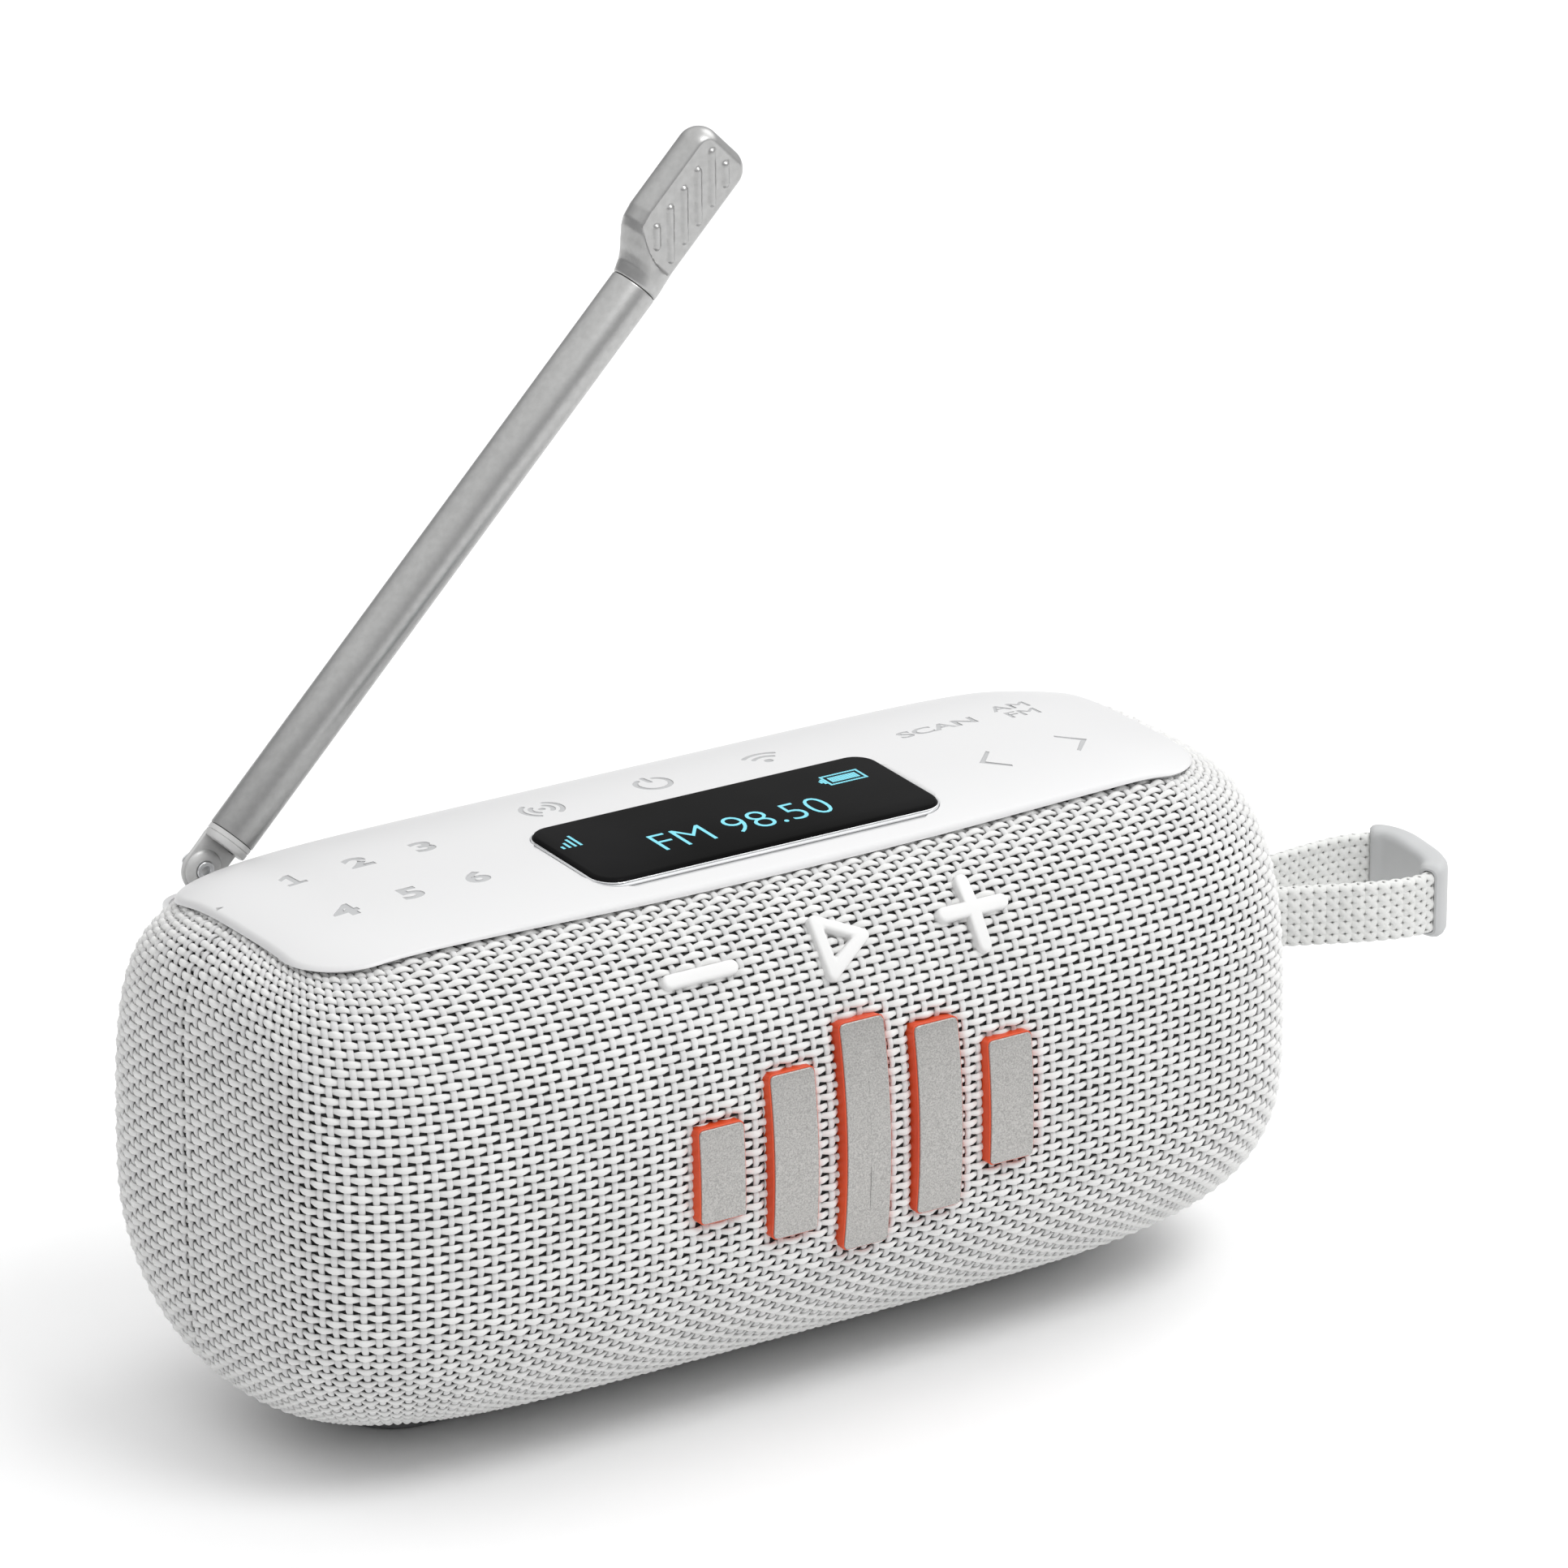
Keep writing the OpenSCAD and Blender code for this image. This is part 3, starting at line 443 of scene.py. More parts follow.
def pressed(points, side):
    """How far the cloth is pulled in where the emblem and the keys are pressed into it."""
    x, y, z = points.T
    deep = np.zeros(len(points))
    if side > 0:
        return deep
    for k, height in enumerate(EMBLEM["heights"]):
        away = rounded_distance(x - (k - 2) * EMBLEM["pitch"], z - EMBLEM["z"],
                                EMBLEM["bar"] / 2, height / 2, 0.6)
        deep = np.maximum(deep, 0.5 * smooth_step(1 - away / 1.5) * ((y < -24) & (z > -12)))
    for k in (-1, 0, 1):
        away = symbol_distance(k, x - k * FRONT_KEY["pitch"], (y - FRONT_KEY["y"]) / LEAN_SHORTENS)
        deep = np.maximum(deep, 0.45 * smooth_step(1 - away / 1.3) * (z > 30))
    return deep


def stroke_distance(x, y, ends, half_width):
    """Distance from a round-ended stroke between two points."""
    (ax, ay), (bx, by) = ends
    dx, dy = bx - ax, by - ay
    t = np.clip(((x - ax) * dx + (y - ay) * dy) / (dx * dx + dy * dy), 0, 1)
    return np.hypot(x - ax - t * dx, y - ay - t * dy) - half_width


LEAN_SHORTENS = 0.64
PLAY = {"reach": 4.75, "back": 0.2, "half": 0.95}
TRIANGLE = [(PLAY["reach"] * math.cos(a) - PLAY["back"], PLAY["reach"] * math.sin(a))
            for a in np.radians([0, 120, 240])]
STROKE_HALF = 1.05
STROKES = {
    -1: [((-5.25, 0), (5.25, 0))],
    0: [(TRIANGLE[0], TRIANGLE[1]), (TRIANGLE[1], TRIANGLE[2]), (TRIANGLE[2], TRIANGLE[0])],
    1: [((-5.05, 0), (5.05, 0)), ((0, -4.75), (0, 4.75))],
}


def symbol_distance(k, x, y):
    return np.min([stroke_distance(x, y, ends, STROKE_HALF) for ends in STROKES[k]], axis=0)


def place_yarns(half, side, u, v):
    """Point, normal and both tangents at lattice places: u along the sleeve, v in mm from
    the widest section."""
    at = u * (FINE - 1)
    run = np.interp(at, np.arange(FINE), half["run"])
    up = np.clip(v / run, 0, 1) * (FAN - 1)
    point = bilinear(half["grid"], at, up)
    normal = unit(bilinear(half["normal"], at, up))
    du = bilinear(half["grid"], np.minimum(at + 0.5, FINE - 1.0), up) - bilinear(
        half["grid"], np.maximum(at - 0.5, 0.0), up)
    along_u = unit(du - normal * (du * normal).sum(1, keepdims=True))
    dv = bilinear(half["grid"], at, np.minimum(up + 0.5, FAN - 1.0)) - bilinear(
        half["grid"], at, np.maximum(up - 0.5, 0.0))
    along_v = unit(dv - normal * (dv * normal).sum(1, keepdims=True))
    rim = run - v
    seam = np.minimum(u, 1 - u) * half["width"]
    dive = 0.4 * smooth_step(1 - (rim - 1.3) / 1.2) + 0.55 * smooth_step(1 - seam / 1.1)
    depth = 0.66 + dive + pressed(point, side)
    return point - normal * depth[:, None], normal, along_u, along_v


def tube_faces(sizes, count):
    """Quads and end caps of tubes of count points a ring; sizes gives each tube's rings."""
    starts = np.concatenate([[0], np.cumsum(sizes)[:-1]])
    first = np.concatenate([np.arange(s, s + n - 1) for s, n in zip(starts, sizes)])
    a = first[:, None] * count + np.arange(count)[None]
    b = first[:, None] * count + (np.arange(count)[None] + 1) % count
    caps = []
    for s, n in zip(starts, sizes):
        caps += [np.arange(count)[::-1] + s * count, np.arange(count) + (s + n - 1) * count]
    return np.stack([a, b, b + count, a + count], axis=2).reshape(-1, 4), caps


def yarn_mesh(name, kind, runs, side):
    """Swept tubes for many yarns. Each run is (u, v, height, width, phase) arrays."""
    spec = YARN[kind]
    chunk, chunks, held = [], [], 0
    for run in runs:
        if held + len(run[0]) > RINGS_PER_PIECE and chunk:
            chunks.append(chunk)
            chunk, held = [], 0
        chunk.append(run)
        held += len(run[0])
    chunks.append(chunk)
    pieces = []
    for index, chunk in enumerate(chunks):
        u, v, lift, wide, phase = (np.concatenate([r[k] for r in chunk]) for k in range(5))
        point = np.zeros((len(u), 3))
        normal, along_u, along_v = point.copy(), point.copy(), point.copy()
        for up in (1, -1):
            mask = (v >= 0) if up > 0 else (v < 0)
            if mask.any():
                found = place_yarns(SLEEVES[side][up], side, u[mask], np.abs(v[mask]))
                point[mask], normal[mask], along_u[mask] = found[:3]
                along_v[mask] = found[3] * up
        across = along_v if kind == "weft" else along_u
        centre = point + normal * lift[:, None]
        angle = SECTION[None, :, None]
        ring = (centre[:, None]
                + across[:, None] * (wide[:, None, None] * np.cos(angle))
                + normal[:, None] * spec["thick"] * np.sin(angle))
        count = len(SECTION)
        quads, caps = tube_faces([len(r[0]) for r in chunk], count)
        if (np.cross(across, along_u if kind == "weft" else along_v) * normal).sum(1).mean() < 0:
            quads = quads[:, ::-1]
            caps = [c[::-1] for c in caps]
        uv = np.stack([np.repeat(phase, count), np.tile(np.arange(count) / count, len(phase))], 1)
        pieces.append(quad_object(f"{name}_{index + 1}", to_scene(ring.reshape(-1, 3)), quads,
                                  caps, MATERIALS[kind], "case", uv))
    return pieces


def openings(point, side):
    """True where the cloth is cut away."""
    if side < 0:
        return np.zeros(len(point), bool)
    x, y, z = point.T
    channel = (x > CHANNEL["lo"]) & (x < CHANNEL["hi"]) & (y > CHANNEL["front"]) & (
        z > CHANNEL["floor"] - 0.4)
    seat = (np.hypot(x - PIN[0], y - PIN[1] - TURRET_BACK) < 6.4) & (z > 20)
    pocket = (x > POCKET["from_x"]) & (np.abs(z - LOOP["z"]) < POCKET["half_z"]) & (
        y > POCKET["y"][0]) & (y < POCKET["y"][1])
    usb = (y > 20) & (rounded_distance(x - USB["x"], z - USB["z"], *USB["half"],
                                       USB["corner"]) < 0)
    return channel | seat | pocket | usb


def lattice_points(side, u, v):
    out = np.zeros((len(u), 3))
    for up in (1, -1):
        mask = (v >= 0) if up > 0 else (v < 0)
        if mask.any():
            half = SLEEVES[side][up]
            at = u[mask] * (FINE - 1)
            run = np.interp(at, np.arange(FINE), half["run"])
            share = np.clip(np.abs(v[mask]) / run, 0, 1)
            out[mask] = bilinear(half["grid"], at, share * (FAN - 1))
    return out


SLEEVES = {side: {up: sleeve_half(side, up) for up in (1, -1)} for side in (-1, 1)}


def weave(side, name):
    """All the yarns of one sleeve: weft along the body and warp round it."""
    halves = SLEEVES[side]
    columns = int(round(halves[1]["width"] / WARP_PITCH))
    top, low = halves[1]["run"], halves[-1]["run"]
    fine = np.arange(FINE) / (FINE - 1)

    def keep_runs(u, v, *rest):
        limit = np.where(v >= 0, np.interp(u, fine, top), np.interp(u, fine, low))
        good = (np.abs(v) <= limit) & ~openings(lattice_points(side, u, v), side)
        edges = np.flatnonzero(np.diff(np.concatenate([[0], good.astype(int), [0]])))
        return [tuple(array[a:b] for array in (u, v, *rest))
                for a, b in zip(edges[::2], edges[1::2]) if b - a > 4]

    def wobble(count, size):
        knots = rng.normal(0, size, count // 18 + 3)
        return np.interp(np.linspace(0, len(knots) - 1, count), np.arange(len(knots)), knots)

    spec = YARN["weft"]
    wefts = []
    for j in range(-int(low.max() / WEFT_PITCH) - 1, int(top.max() / WEFT_PITCH) + 1):
        count = columns * spec["steps"] + 1
        cell = np.linspace(0, columns, count)
        wave = np.cos(np.pi * (cell - 0.5 - j % 2))
        lift = spec["crimp"] * np.sign(wave) * np.abs(wave) ** 0.8
        wide = spec["half"] * (0.88 + 0.12 * wave) * (1 + rng.normal(0, 0.03) + wobble(count, 0.03))
        v = (j + 0.5) * WEFT_PITCH + wobble(count, 0.035)
        wefts += keep_runs(cell / columns, v, lift, wide, cell * WARP_PITCH / 3)
    spec = YARN["warp"]
    warps = []
    for i in range(columns):
        u = (i + 0.5) / columns
        low_end, top_end = (np.interp(u, fine, r) for r in (low, top))
        v = np.arange(-math.floor(low_end * spec["steps"] / WEFT_PITCH),
                      math.floor(top_end * spec["steps"] / WEFT_PITCH) + 1)
        v = v * WEFT_PITCH / spec["steps"]
        wave = -np.cos(np.pi * (v / WEFT_PITCH - 0.5 - i % 2))
        wide = spec["half"] * (0.9 + 0.1 * wave) * (1 + rng.normal(0, 0.04) + wobble(len(v), 0.03))
        shift = wobble(len(v), 0.04) / halves[1]["width"]
        warps += keep_runs(np.full(len(v), u) + shift, v, spec["crimp"] * wave, wide, v / 3)
    pieces = yarn_mesh(name + "_weft", "weft", wefts, side)
    pieces += yarn_mesh(name + "_warp", "warp", warps, side)
    return pieces


def backing(side, name):
    """The knitted scrim that the yarns lie on, as one thin sheet."""
    across = 211
    u = np.linspace(0, 1, across)
    columns = []
    for up, count in ((-1, 41), (1, 45)):
        half = SLEEVES[side][up]
        run = np.interp(u, np.arange(FINE) / (FINE - 1), half["run"])
        steps = np.linspace(0, 1, count)
        steps = steps[:0:-1] if up < 0 else steps
        grid_u, part = np.meshgrid(u, steps, indexing="ij")
        found = place_yarns(half, side, grid_u.ravel(), (part * run[:, None]).ravel())
        points = found[0] - found[1] * 0.46
        columns.append(points.reshape(across, len(steps), 3))
    grid = np.concatenate(columns, axis=1)
    wide, tall = grid.shape[:2]
    i = np.arange(wide - 1)[:, None] * tall + np.arange(tall - 1)[None]
    quads = np.stack([i, i + tall, i + tall + 1, i + 1], axis=2).reshape(-1, 4)
    points = grid.reshape(-1, 3)
    quads = quads[~openings(points[quads].mean(axis=1), side)]
    first = points[quads[:, 1]] - points[quads[:, 0]]
    second = points[quads[:, 3]] - points[quads[:, 0]]
    if (np.cross(first, second)[:, 1] * side).mean() < 0:
        quads = quads[:, ::-1]
    used, index = np.unique(quads, return_inverse=True)
    piece = quad_object(name, to_scene(points[used]), index.reshape(quads.shape), (),
                        MATERIALS["scrim"], "case")
    return piece


front_cloth = weave(-1, "front_cloth")
rear_cloth = weave(1, "rear_cloth")
front_backing = backing(-1, "front_backing")
rear_backing = backing(1, "rear_backing")
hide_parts("fabric_front")
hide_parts("fabric_rear")

# ---------- lettering and symbols ----------

def loops_of(mesh):
    """Points and boundary edges of a flat filled mesh."""
    shape = bmesh.new()
    shape.from_mesh(mesh)
    bmesh.ops.remove_doubles(shape, verts=shape.verts, dist=0.004)
    rim = [e for e in shape.edges if len(e.link_faces) == 1]
    order = {}
    for edge in rim:
        for vert in edge.verts:
            order.setdefault(vert, len(order))
    points = np.array([v.co.xy for v in order])
    edges = np.array([[order[v] for v in e.verts] for e in rim])
    shape.free()
    return points, edges


def lettering(text, height, wide=1.0, heavy=0.0):
    """Outline of a line of plain lettering, centred, with capitals of a given height."""
    data = bpy.data.curves.new("lettering", "FONT")
    data.body, data.size, data.offset, data.resolution_u = text, 10.0, heavy, 4
    data.align_x = "CENTER"
    item = bpy.data.objects.new("lettering", data)
    bpy.context.scene.collection.objects.link(item)
    bpy.context.view_layer.update()
    mesh = bpy.data.meshes.new_from_object(
        item.evaluated_get(bpy.context.evaluated_depsgraph_get()))
    points, edges = loops_of(mesh)
    bpy.data.objects.remove(item)
    bpy.data.curves.remove(data)
    bpy.data.meshes.remove(mesh)
    middle = (points.max(0) + points.min(0)) / 2
    scale = height / (points[:, 1].max() - points[:, 1].min())
    return (points - middle) * [scale * wide, scale], edges


def closed(loops):
    """Points and edges of several closed outlines."""
    points, edges, base = [], [], 0
    for loop in loops:
        n = len(loop)
        points.append(np.asarray(loop, float))
        edges.append(np.stack([np.arange(n), (np.arange(n) + 1) % n], 1) + base)
        base += n
    return np.concatenate(points), np.concatenate(edges)


def band(radius, width, first, last, count=20):
    """A stroke along an arc with round ends, in degrees."""
    half = width / 2
    outer = arc((0, 0), radius + half, first, last, count)
    inner = arc((0, 0), radius - half, last, first, count)
    ends = []
    for at, start in ((last, last), (first, first + 180)):
        a = math.radians(at)
        centre = (radius * math.cos(a), radius * math.sin(a))
        ends.append(arc(centre, half, start, start + 180, 7)[1:-1])
    return np.concatenate([outer, ends[0], inner, ends[1]])


def bar(start, end, width):
    """A straight stroke with round ends."""
    (ax, ay), (bx, by) = start, end
    turn = math.degrees(math.atan2(by - ay, bx - ax))
    return np.concatenate([arc(end, width / 2, turn - 90, turn + 90, 9),
                           arc(start, width / 2, turn + 90, turn + 270, 9)])


def chevron(size, width, side):
    """An angle bracket that points along x: side 1 to the right."""
    tip, back, rise = size * 0.45, -size * 0.45, size
    slope = math.hypot(tip - back, rise)
    out = width / 2 * slope / rise
    cap = [(back - width * 0.2, rise + width * 0.42), (back - width * 0.55, rise - width * 0.3)]
    upper = [(tip + out, 0), cap[0], cap[1], (tip - out, 0)]
    lower = [(x, -y) for x, y in (cap[1], cap[0])]
    return np.array(upper + lower) * [side, 1]


# ---------- plates cut and lifted onto the body ----------

def inside_outline(points, corners, edges):
    """Even-odd test of points against closed outlines."""
    a, b = corners[edges[:, 0]], corners[edges[:, 1]]
    x, y = points[:, 0, None], points[:, 1, None]
    crosses = (a[None, :, 1] > y) != (b[None, :, 1] > y)
    with np.errstate(divide="ignore", invalid="ignore"):
        at = a[:, 0] + (y - a[:, 1]) * (b[:, 0] - a[:, 0]) / (b[:, 1] - a[:, 1])
    return (crosses & (x < at)).sum(axis=1) % 2 == 1


def fill(corners, edges, extra):
    """Triangles of the area within closed outlines, through extra points inside it."""
    points = np.concatenate([corners, extra[inside_outline(extra, corners, edges)]])
    found = delaunay_2d_cdt([Vector(p) for p in points], [tuple(e) for e in edges.tolist()],
                            [], 0, 1e-5)
    flat = np.array([tuple(v) for v in found[0]])
    faces = np.array(found[2])
    middle = flat[faces].mean(axis=1)
    return flat, faces[inside_outline(middle, corners, edges)]


def lifted(name, corners, edges, extra, surface, depth, material, body):
    """A plate over an outline: surface(x, y) gives its top, and its rim drops by depth.
    surface returns points and unit normals in mm."""
    flat, faces = fill(corners, edges, extra)
    top, normal = surface(flat)
    twisted = np.cross(top[faces[:, 1]] - top[faces[:, 0]], top[faces[:, 2]] - top[faces[:, 0]])
    if (twisted * normal[faces[:, 0]]).sum() < 0:
        faces = faces[:, ::-1]
    used = dict.fromkeys(edge for a, b, c in faces.tolist()
                         for edge in ((a, b), (b, c), (c, a)))
    rim = np.array([e for e in used if (e[1], e[0]) not in used])
    heads, tails = rim[:, 0], rim[:, 1]
    ids = np.unique(rim)
    slot_of = np.full(len(flat), -1)
    slot_of[ids] = np.arange(len(ids))
    upper, lower = top[ids], top[ids] - normal[ids] * depth
    n, k = len(top), len(ids)
    points = np.concatenate([top, upper, lower])
    a, b = slot_of[heads] + n, slot_of[tails] + n
    quads = np.stack([b, a, a + k, b + k], axis=1)
    mesh = bpy.data.meshes.new(name)
    mesh.from_pydata(to_scene(points).tolist(), [], faces.tolist() + quads.tolist())
    mesh.update()
    shade(mesh)
    along = top[tails] - top[heads]
    sideways = unit(np.cross(along, normal[heads]))
    wall = np.zeros((k, 3))
    np.add.at(wall, slot_of[heads], sideways)
    np.add.at(wall, slot_of[tails], sideways)
    wall = unit(wall)
    mesh.normals_split_custom_set_from_vertices(
        np.concatenate([normal, wall, wall]).tolist())
    return add(name, mesh, material, body)


def rounded_rect(half_x, half_y, radius, count=10, centre=(0, 0)):
    corners = []
    for sx, sy, start in ((1, 1, 0), (-1, 1, 90), (-1, -1, 180), (1, -1, 270)):
        corners.append(arc((sx * (half_x - radius), sy * (half_y - radius)), radius, start,
                           start + 90, count))
    return np.concatenate(corners) + centre


PANEL_MIDDLE = (PANEL["front"] + PANEL["back"]) / 2
PANEL_HALF_Y = (PANEL["back"] - PANEL["front"]) / 2
EDGE_ROUND, RIM_ROUND = 0.85, 0.3
GLYPH_SINK = 0.13


def panel_distance(x, y):
    """Distance outside the panel's outline, negative inside it."""
    x, y = panel_bend(np.stack([x, y], axis=-1), -1).T
    return rounded_distance(x, y - PANEL_MIDDLE, PANEL["half"], PANEL_HALF_Y, PANEL["corner"])


def window_distance(x, y):
    return rounded_distance(x, y - WINDOW["y"], *WINDOW["half"], WINDOW["corner"])


def panel_height(x, y):
    edge = np.clip(EDGE_ROUND + panel_distance(x, y), 0, EDGE_ROUND)
    lost = EDGE_ROUND - np.sqrt(np.maximum(EDGE_ROUND ** 2 - edge ** 2, 0))
    rim = np.clip(RIM_ROUND - window_distance(x, y), 0, RIM_ROUND)
    lost = lost + RIM_ROUND - np.sqrt(np.maximum(RIM_ROUND ** 2 - rim ** 2, 0))
    flush = 0.65 * smooth_step((x - 64) / 14)
    return crown_at(x, y, PANEL["proud"]) - lost - flush


def panel_top(flat, sink=0.0):
    """The panel's crowned top, with its edges and the window's rim rounded over."""
    x, y = flat.T
    points = np.stack([x, y, panel_height(x, y) - sink], axis=1)
    return points, height_normal(panel_height, x, y, 0.02)


def numeral_one():
    right = [(1.62, -2.15), (1.62, -1.42), (0.62, -1.42), (0.62, 2.15), (-0.28, 2.15)]
    left = [(-1.55, 1.3), (-1.55, 0.42), (-0.42, 0.98), (-0.42, -1.42), (-1.62, -1.42),
            (-1.62, -2.15)]
    return closed([np.array(right + left)])


PRESET_X, PRESET_PITCH, PRESET_ROWS = -56.8, 11.4, (8.2, -7.0)
KEYS = {}
for number in range(6):
    spot = (PRESET_X + (number % 3 - 1) * PRESET_PITCH, PRESET_ROWS[number // 3])
    shape = lettering(str(number + 1), 4.3, 1.45, 0.42) if number else numeral_one()
    KEYS[f"key_{number + 1}"] = spot, shape
KEYS["key_broadcast"] = (-22, 12), closed([
    band(3.2, 0.85, 125, 235), band(3.2, 0.85, -55, 55), band(1.75, 0.85, 130, 230),
    band(1.75, 0.85, -50, 50), rounded_rect(0.6, 0.6, 0.55, 6)])
KEYS["key_power"] = (-2, 12), closed([
    band(2.7, 0.9, 122, 418, count=44), bar((0, 0.9), (0, 3.2), 0.9)])
KEYS["key_wireless"] = (18, 12), closed([
    band(4.4, 0.85, 52, 128) - [0, 2.3], band(2.75, 0.85, 50, 130) - [0, 2.3],
    rounded_rect(0.75, 0.75, 0.7, 6, (0, -1.7))])
KEYS["key_scan"] = (47.6, 8.0), lettering("SCAN", 2.8, 1.5, 0.3)
KEYS["key_band"] = (62.6, 8.4), lettering("AM\nFM", 6.3, 1.35, 0.16)
KEYS["key_previous"] = (46.3, -8.5), closed([chevron(3.3, 0.85, -1)])
KEYS["key_next"] = (62.4, -8.4), closed([chevron(3.3, 0.85, 1)])
KEYS = {key: (points + place, edges) for key, (place, (points, edges)) in KEYS.items()}


def panel_ring(inset):
    ring = rounded_rect(PANEL["half"] - inset, PANEL_HALF_Y - inset, PANEL["corner"] - inset, 24,
                        (0, PANEL_MIDDLE))
    return panel_bend(dense(ring, 420))


def window_ring(outset):
    half_x, half_y = WINDOW["half"]
    return rounded_rect(half_x + outset, half_y + outset, WINDOW["corner"] + outset, 14,
                        (0, WINDOW["y"]))


def panel_piece():
    corners, edges, base = [], [], 0
    for points, links in [closed([panel_ring(0), window_ring(0)]), *KEYS.values()]:
        corners.append(points)
        edges.append(links + base)
        base += len(points)
    corners, edges = np.concatenate(corners), np.concatenate(edges)
    extra = [panel_ring(inset) for inset in (0.03, 0.1, 0.2, 0.35, 0.55, 0.8, 1.0)]
    extra += [window_ring(outset) for outset in (0.03, 0.1, 0.2, 0.32)]
    grid_x, grid_y = np.meshgrid(np.arange(-80, 80.1, 1.6), np.arange(-22.4, 25.8, 1.6))
    grid = np.stack([grid_x.ravel(), grid_y.ravel()], axis=1)
    away = np.min(np.linalg.norm(grid[:, None] - corners[None, :], axis=2), axis=1)
    extra.append(grid[(panel_distance(*grid.T) < -1.2) & (window_distance(*grid.T) > 0.6)
                      & (away > 0.35)])
    return lifted("panel", corners, edges, np.concatenate(extra), panel_top, 2.6,
                  MATERIALS["panel"], "case")


stands_for(panel_piece(), "top_panel")

for key, (points, edges) in KEYS.items():
    glyph = lifted(key + "_glyph", points, edges, np.zeros((0, 2)),
                   lambda flat: panel_top(flat, GLYPH_SINK), 1.6, MATERIALS["glyph"], key)
    stands_for(glyph, key)
    lo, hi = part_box(key)
    mid = (lo + hi) / 2
    stem = bmesh.new()
    bmesh.ops.create_cube(stem, size=1.0)
    height = hi.z - lo.z - 0.0019
    bmesh.ops.scale(stem, vec=(hi.x - lo.x, hi.y - lo.y - 0.0008, height), verts=stem.verts)
    bmesh.ops.translate(stem, vec=(mid.x, mid.y, lo.z + height / 2), verts=stem.verts)
    bmesh.ops.bevel(stem, geom=list(stem.edges), offset=0.0004, segments=2, profile=0.5,
                    affect="EDGES", clamp_overlap=True)
    stem = add(key + "_stem", mesh_of(key + "_stem", stem), MATERIALS["key_rubber"], key)
    shade(stem.data, 40)

# ---------- display ----------

WINDOW_LEVEL = float(crown_at(0.0, WINDOW["y"], PANEL["proud"]))
WINDOW_LEAN = math.atan2(float(crown_at(0.0, 1.0, PANEL["proud"])
                               - crown_at(0.0, -17.0, PANEL["proud"])), 18)


def on_window(points):
    """From the window's own plane, origin at its middle, to mm from the widest section."""
    c, s = math.cos(WINDOW_LEAN), math.sin(WINDOW_LEAN)
    x, y, z = points.T
    return np.stack([x, WINDOW["y"] + y * c - z * s, WINDOW_LEVEL + y * s + z * c], axis=1)


def ring_stack(name, rings, material, body, place, close_top=True, close_low=False):
    """Quads between stacked rings of equal count; each ring is (n, 3)."""
    count = len(rings[0])
    points = place(np.concatenate(rings))
    i = np.arange(count)
    quads = []
    for level in range(len(rings) - 1):
        a = i + level * count
        b = (i + 1) % count + level * count
        quads.append(np.stack([a, b, b + count, a + count], axis=1))
    caps = []
    if close_top:
        caps.append(i + (len(rings) - 1) * count)
    if close_low:
        caps.append(i[::-1])
    return quad_object(name, to_scene(points), np.concatenate(quads), caps, material, body)


def flat_ring(half_x, half_y, radius, z, count=12):
    loop = rounded_rect(half_x, half_y, radius, count)
    return np.column_stack([loop, np.full(len(loop), z)])


GLASS, GLASS_TOP, GLASS_ROUND, GLASS_FOOT = (30.85, 11.45, 3.85), 0.42, 0.75, -1.6
RIM = (31.08, 11.68, 4.08)
glass_rings = [flat_ring(*GLASS, GLASS_FOOT)]
for a in np.radians(np.arange(0, 91, 15)):
    inset = GLASS_ROUND * (1 - math.cos(a))
    glass_rings.append(flat_ring(*(size - inset for size in GLASS),
                                 GLASS_TOP - GLASS_ROUND * (1 - math.sin(a))))
stands_for(ring_stack("display_glass", glass_rings, MATERIALS["glass"], "case", on_window),
           "display_window", 50)
stands_for(ring_stack("display_rim", [
    flat_ring(*(size - inset for size in RIM), z) for inset, z in (
        (0, -1.4), (0, -0.22), (0.06, -0.12), (0.18, -0.12), (0.24, -0.22), (0.24, -1.4))],
    MATERIALS["chrome"], "case", on_window, close_top=False), "display_gasket")


def dots(name, cells, size, origin, height):
    """Lit display dots: small raised pads, one per cell."""
    cells = np.array(cells, float) * size + origin
    half = size * 0.46
    pad = np.array([[-1, -1], [1, -1], [1, 1], [-1, 1]]) * half
    low = np.concatenate([cells[:, None] + pad, np.full((len(cells), 4, 1), height)], axis=2)
    high = low.copy()
    high[..., :2] = cells[:, None] + pad * 0.9
    high[..., 2] += 0.012
    points = np.concatenate([low, high], axis=1).reshape(-1, 3)
    faces = [[4, 5, 6, 7]] + [[i, (i + 1) % 4, (i + 1) % 4 + 4, i + 4] for i in range(4)]
    quads = (np.array(faces)[None] + np.arange(len(cells))[:, None, None] * 8).reshape(-1, 4)
    piece = quad_object(name, to_scene(on_window(points)), quads, (), MATERIALS["lit"], "case")
    piece.data.shade_flat()


def above_window(flat):
    points = on_window(np.column_stack([flat, np.full(len(flat), 0.455)]))
    normal = np.array([0, -math.sin(WINDOW_LEAN), math.cos(WINDOW_LEAN)])
    return points, np.tile(normal, (len(flat), 1))


letters, links = lettering("FM 98.50", 6.0, 0.95, -0.15)
lifted("display_text", letters + [-0.7, -2.8], links, np.zeros((0, 2)), above_window,
               0.03, MATERIALS["lit"], "case")
signal = [(i * 2, j) for i in range(4) for j in range(2 * i + 2)]
dots("display_signal", signal, 0.5, (-29.0, 2.6), 0.44)
outline = [(x, y) for x in range(15) for y in (0, 7)]
outline += [(x, y) for x in (0, 14) for y in range(1, 7)]
filling = [(x, y) for x in range(2, 13) for y in range(2, 6)]
nub = [(-1, y) for y in range(2, 6)] + [(-2, y) for y in range(3, 5)]
dots("display_battery", outline + filling + nub, 0.46, (19.3, 2.9), 0.44)

# ---------- front keys and emblem ----------

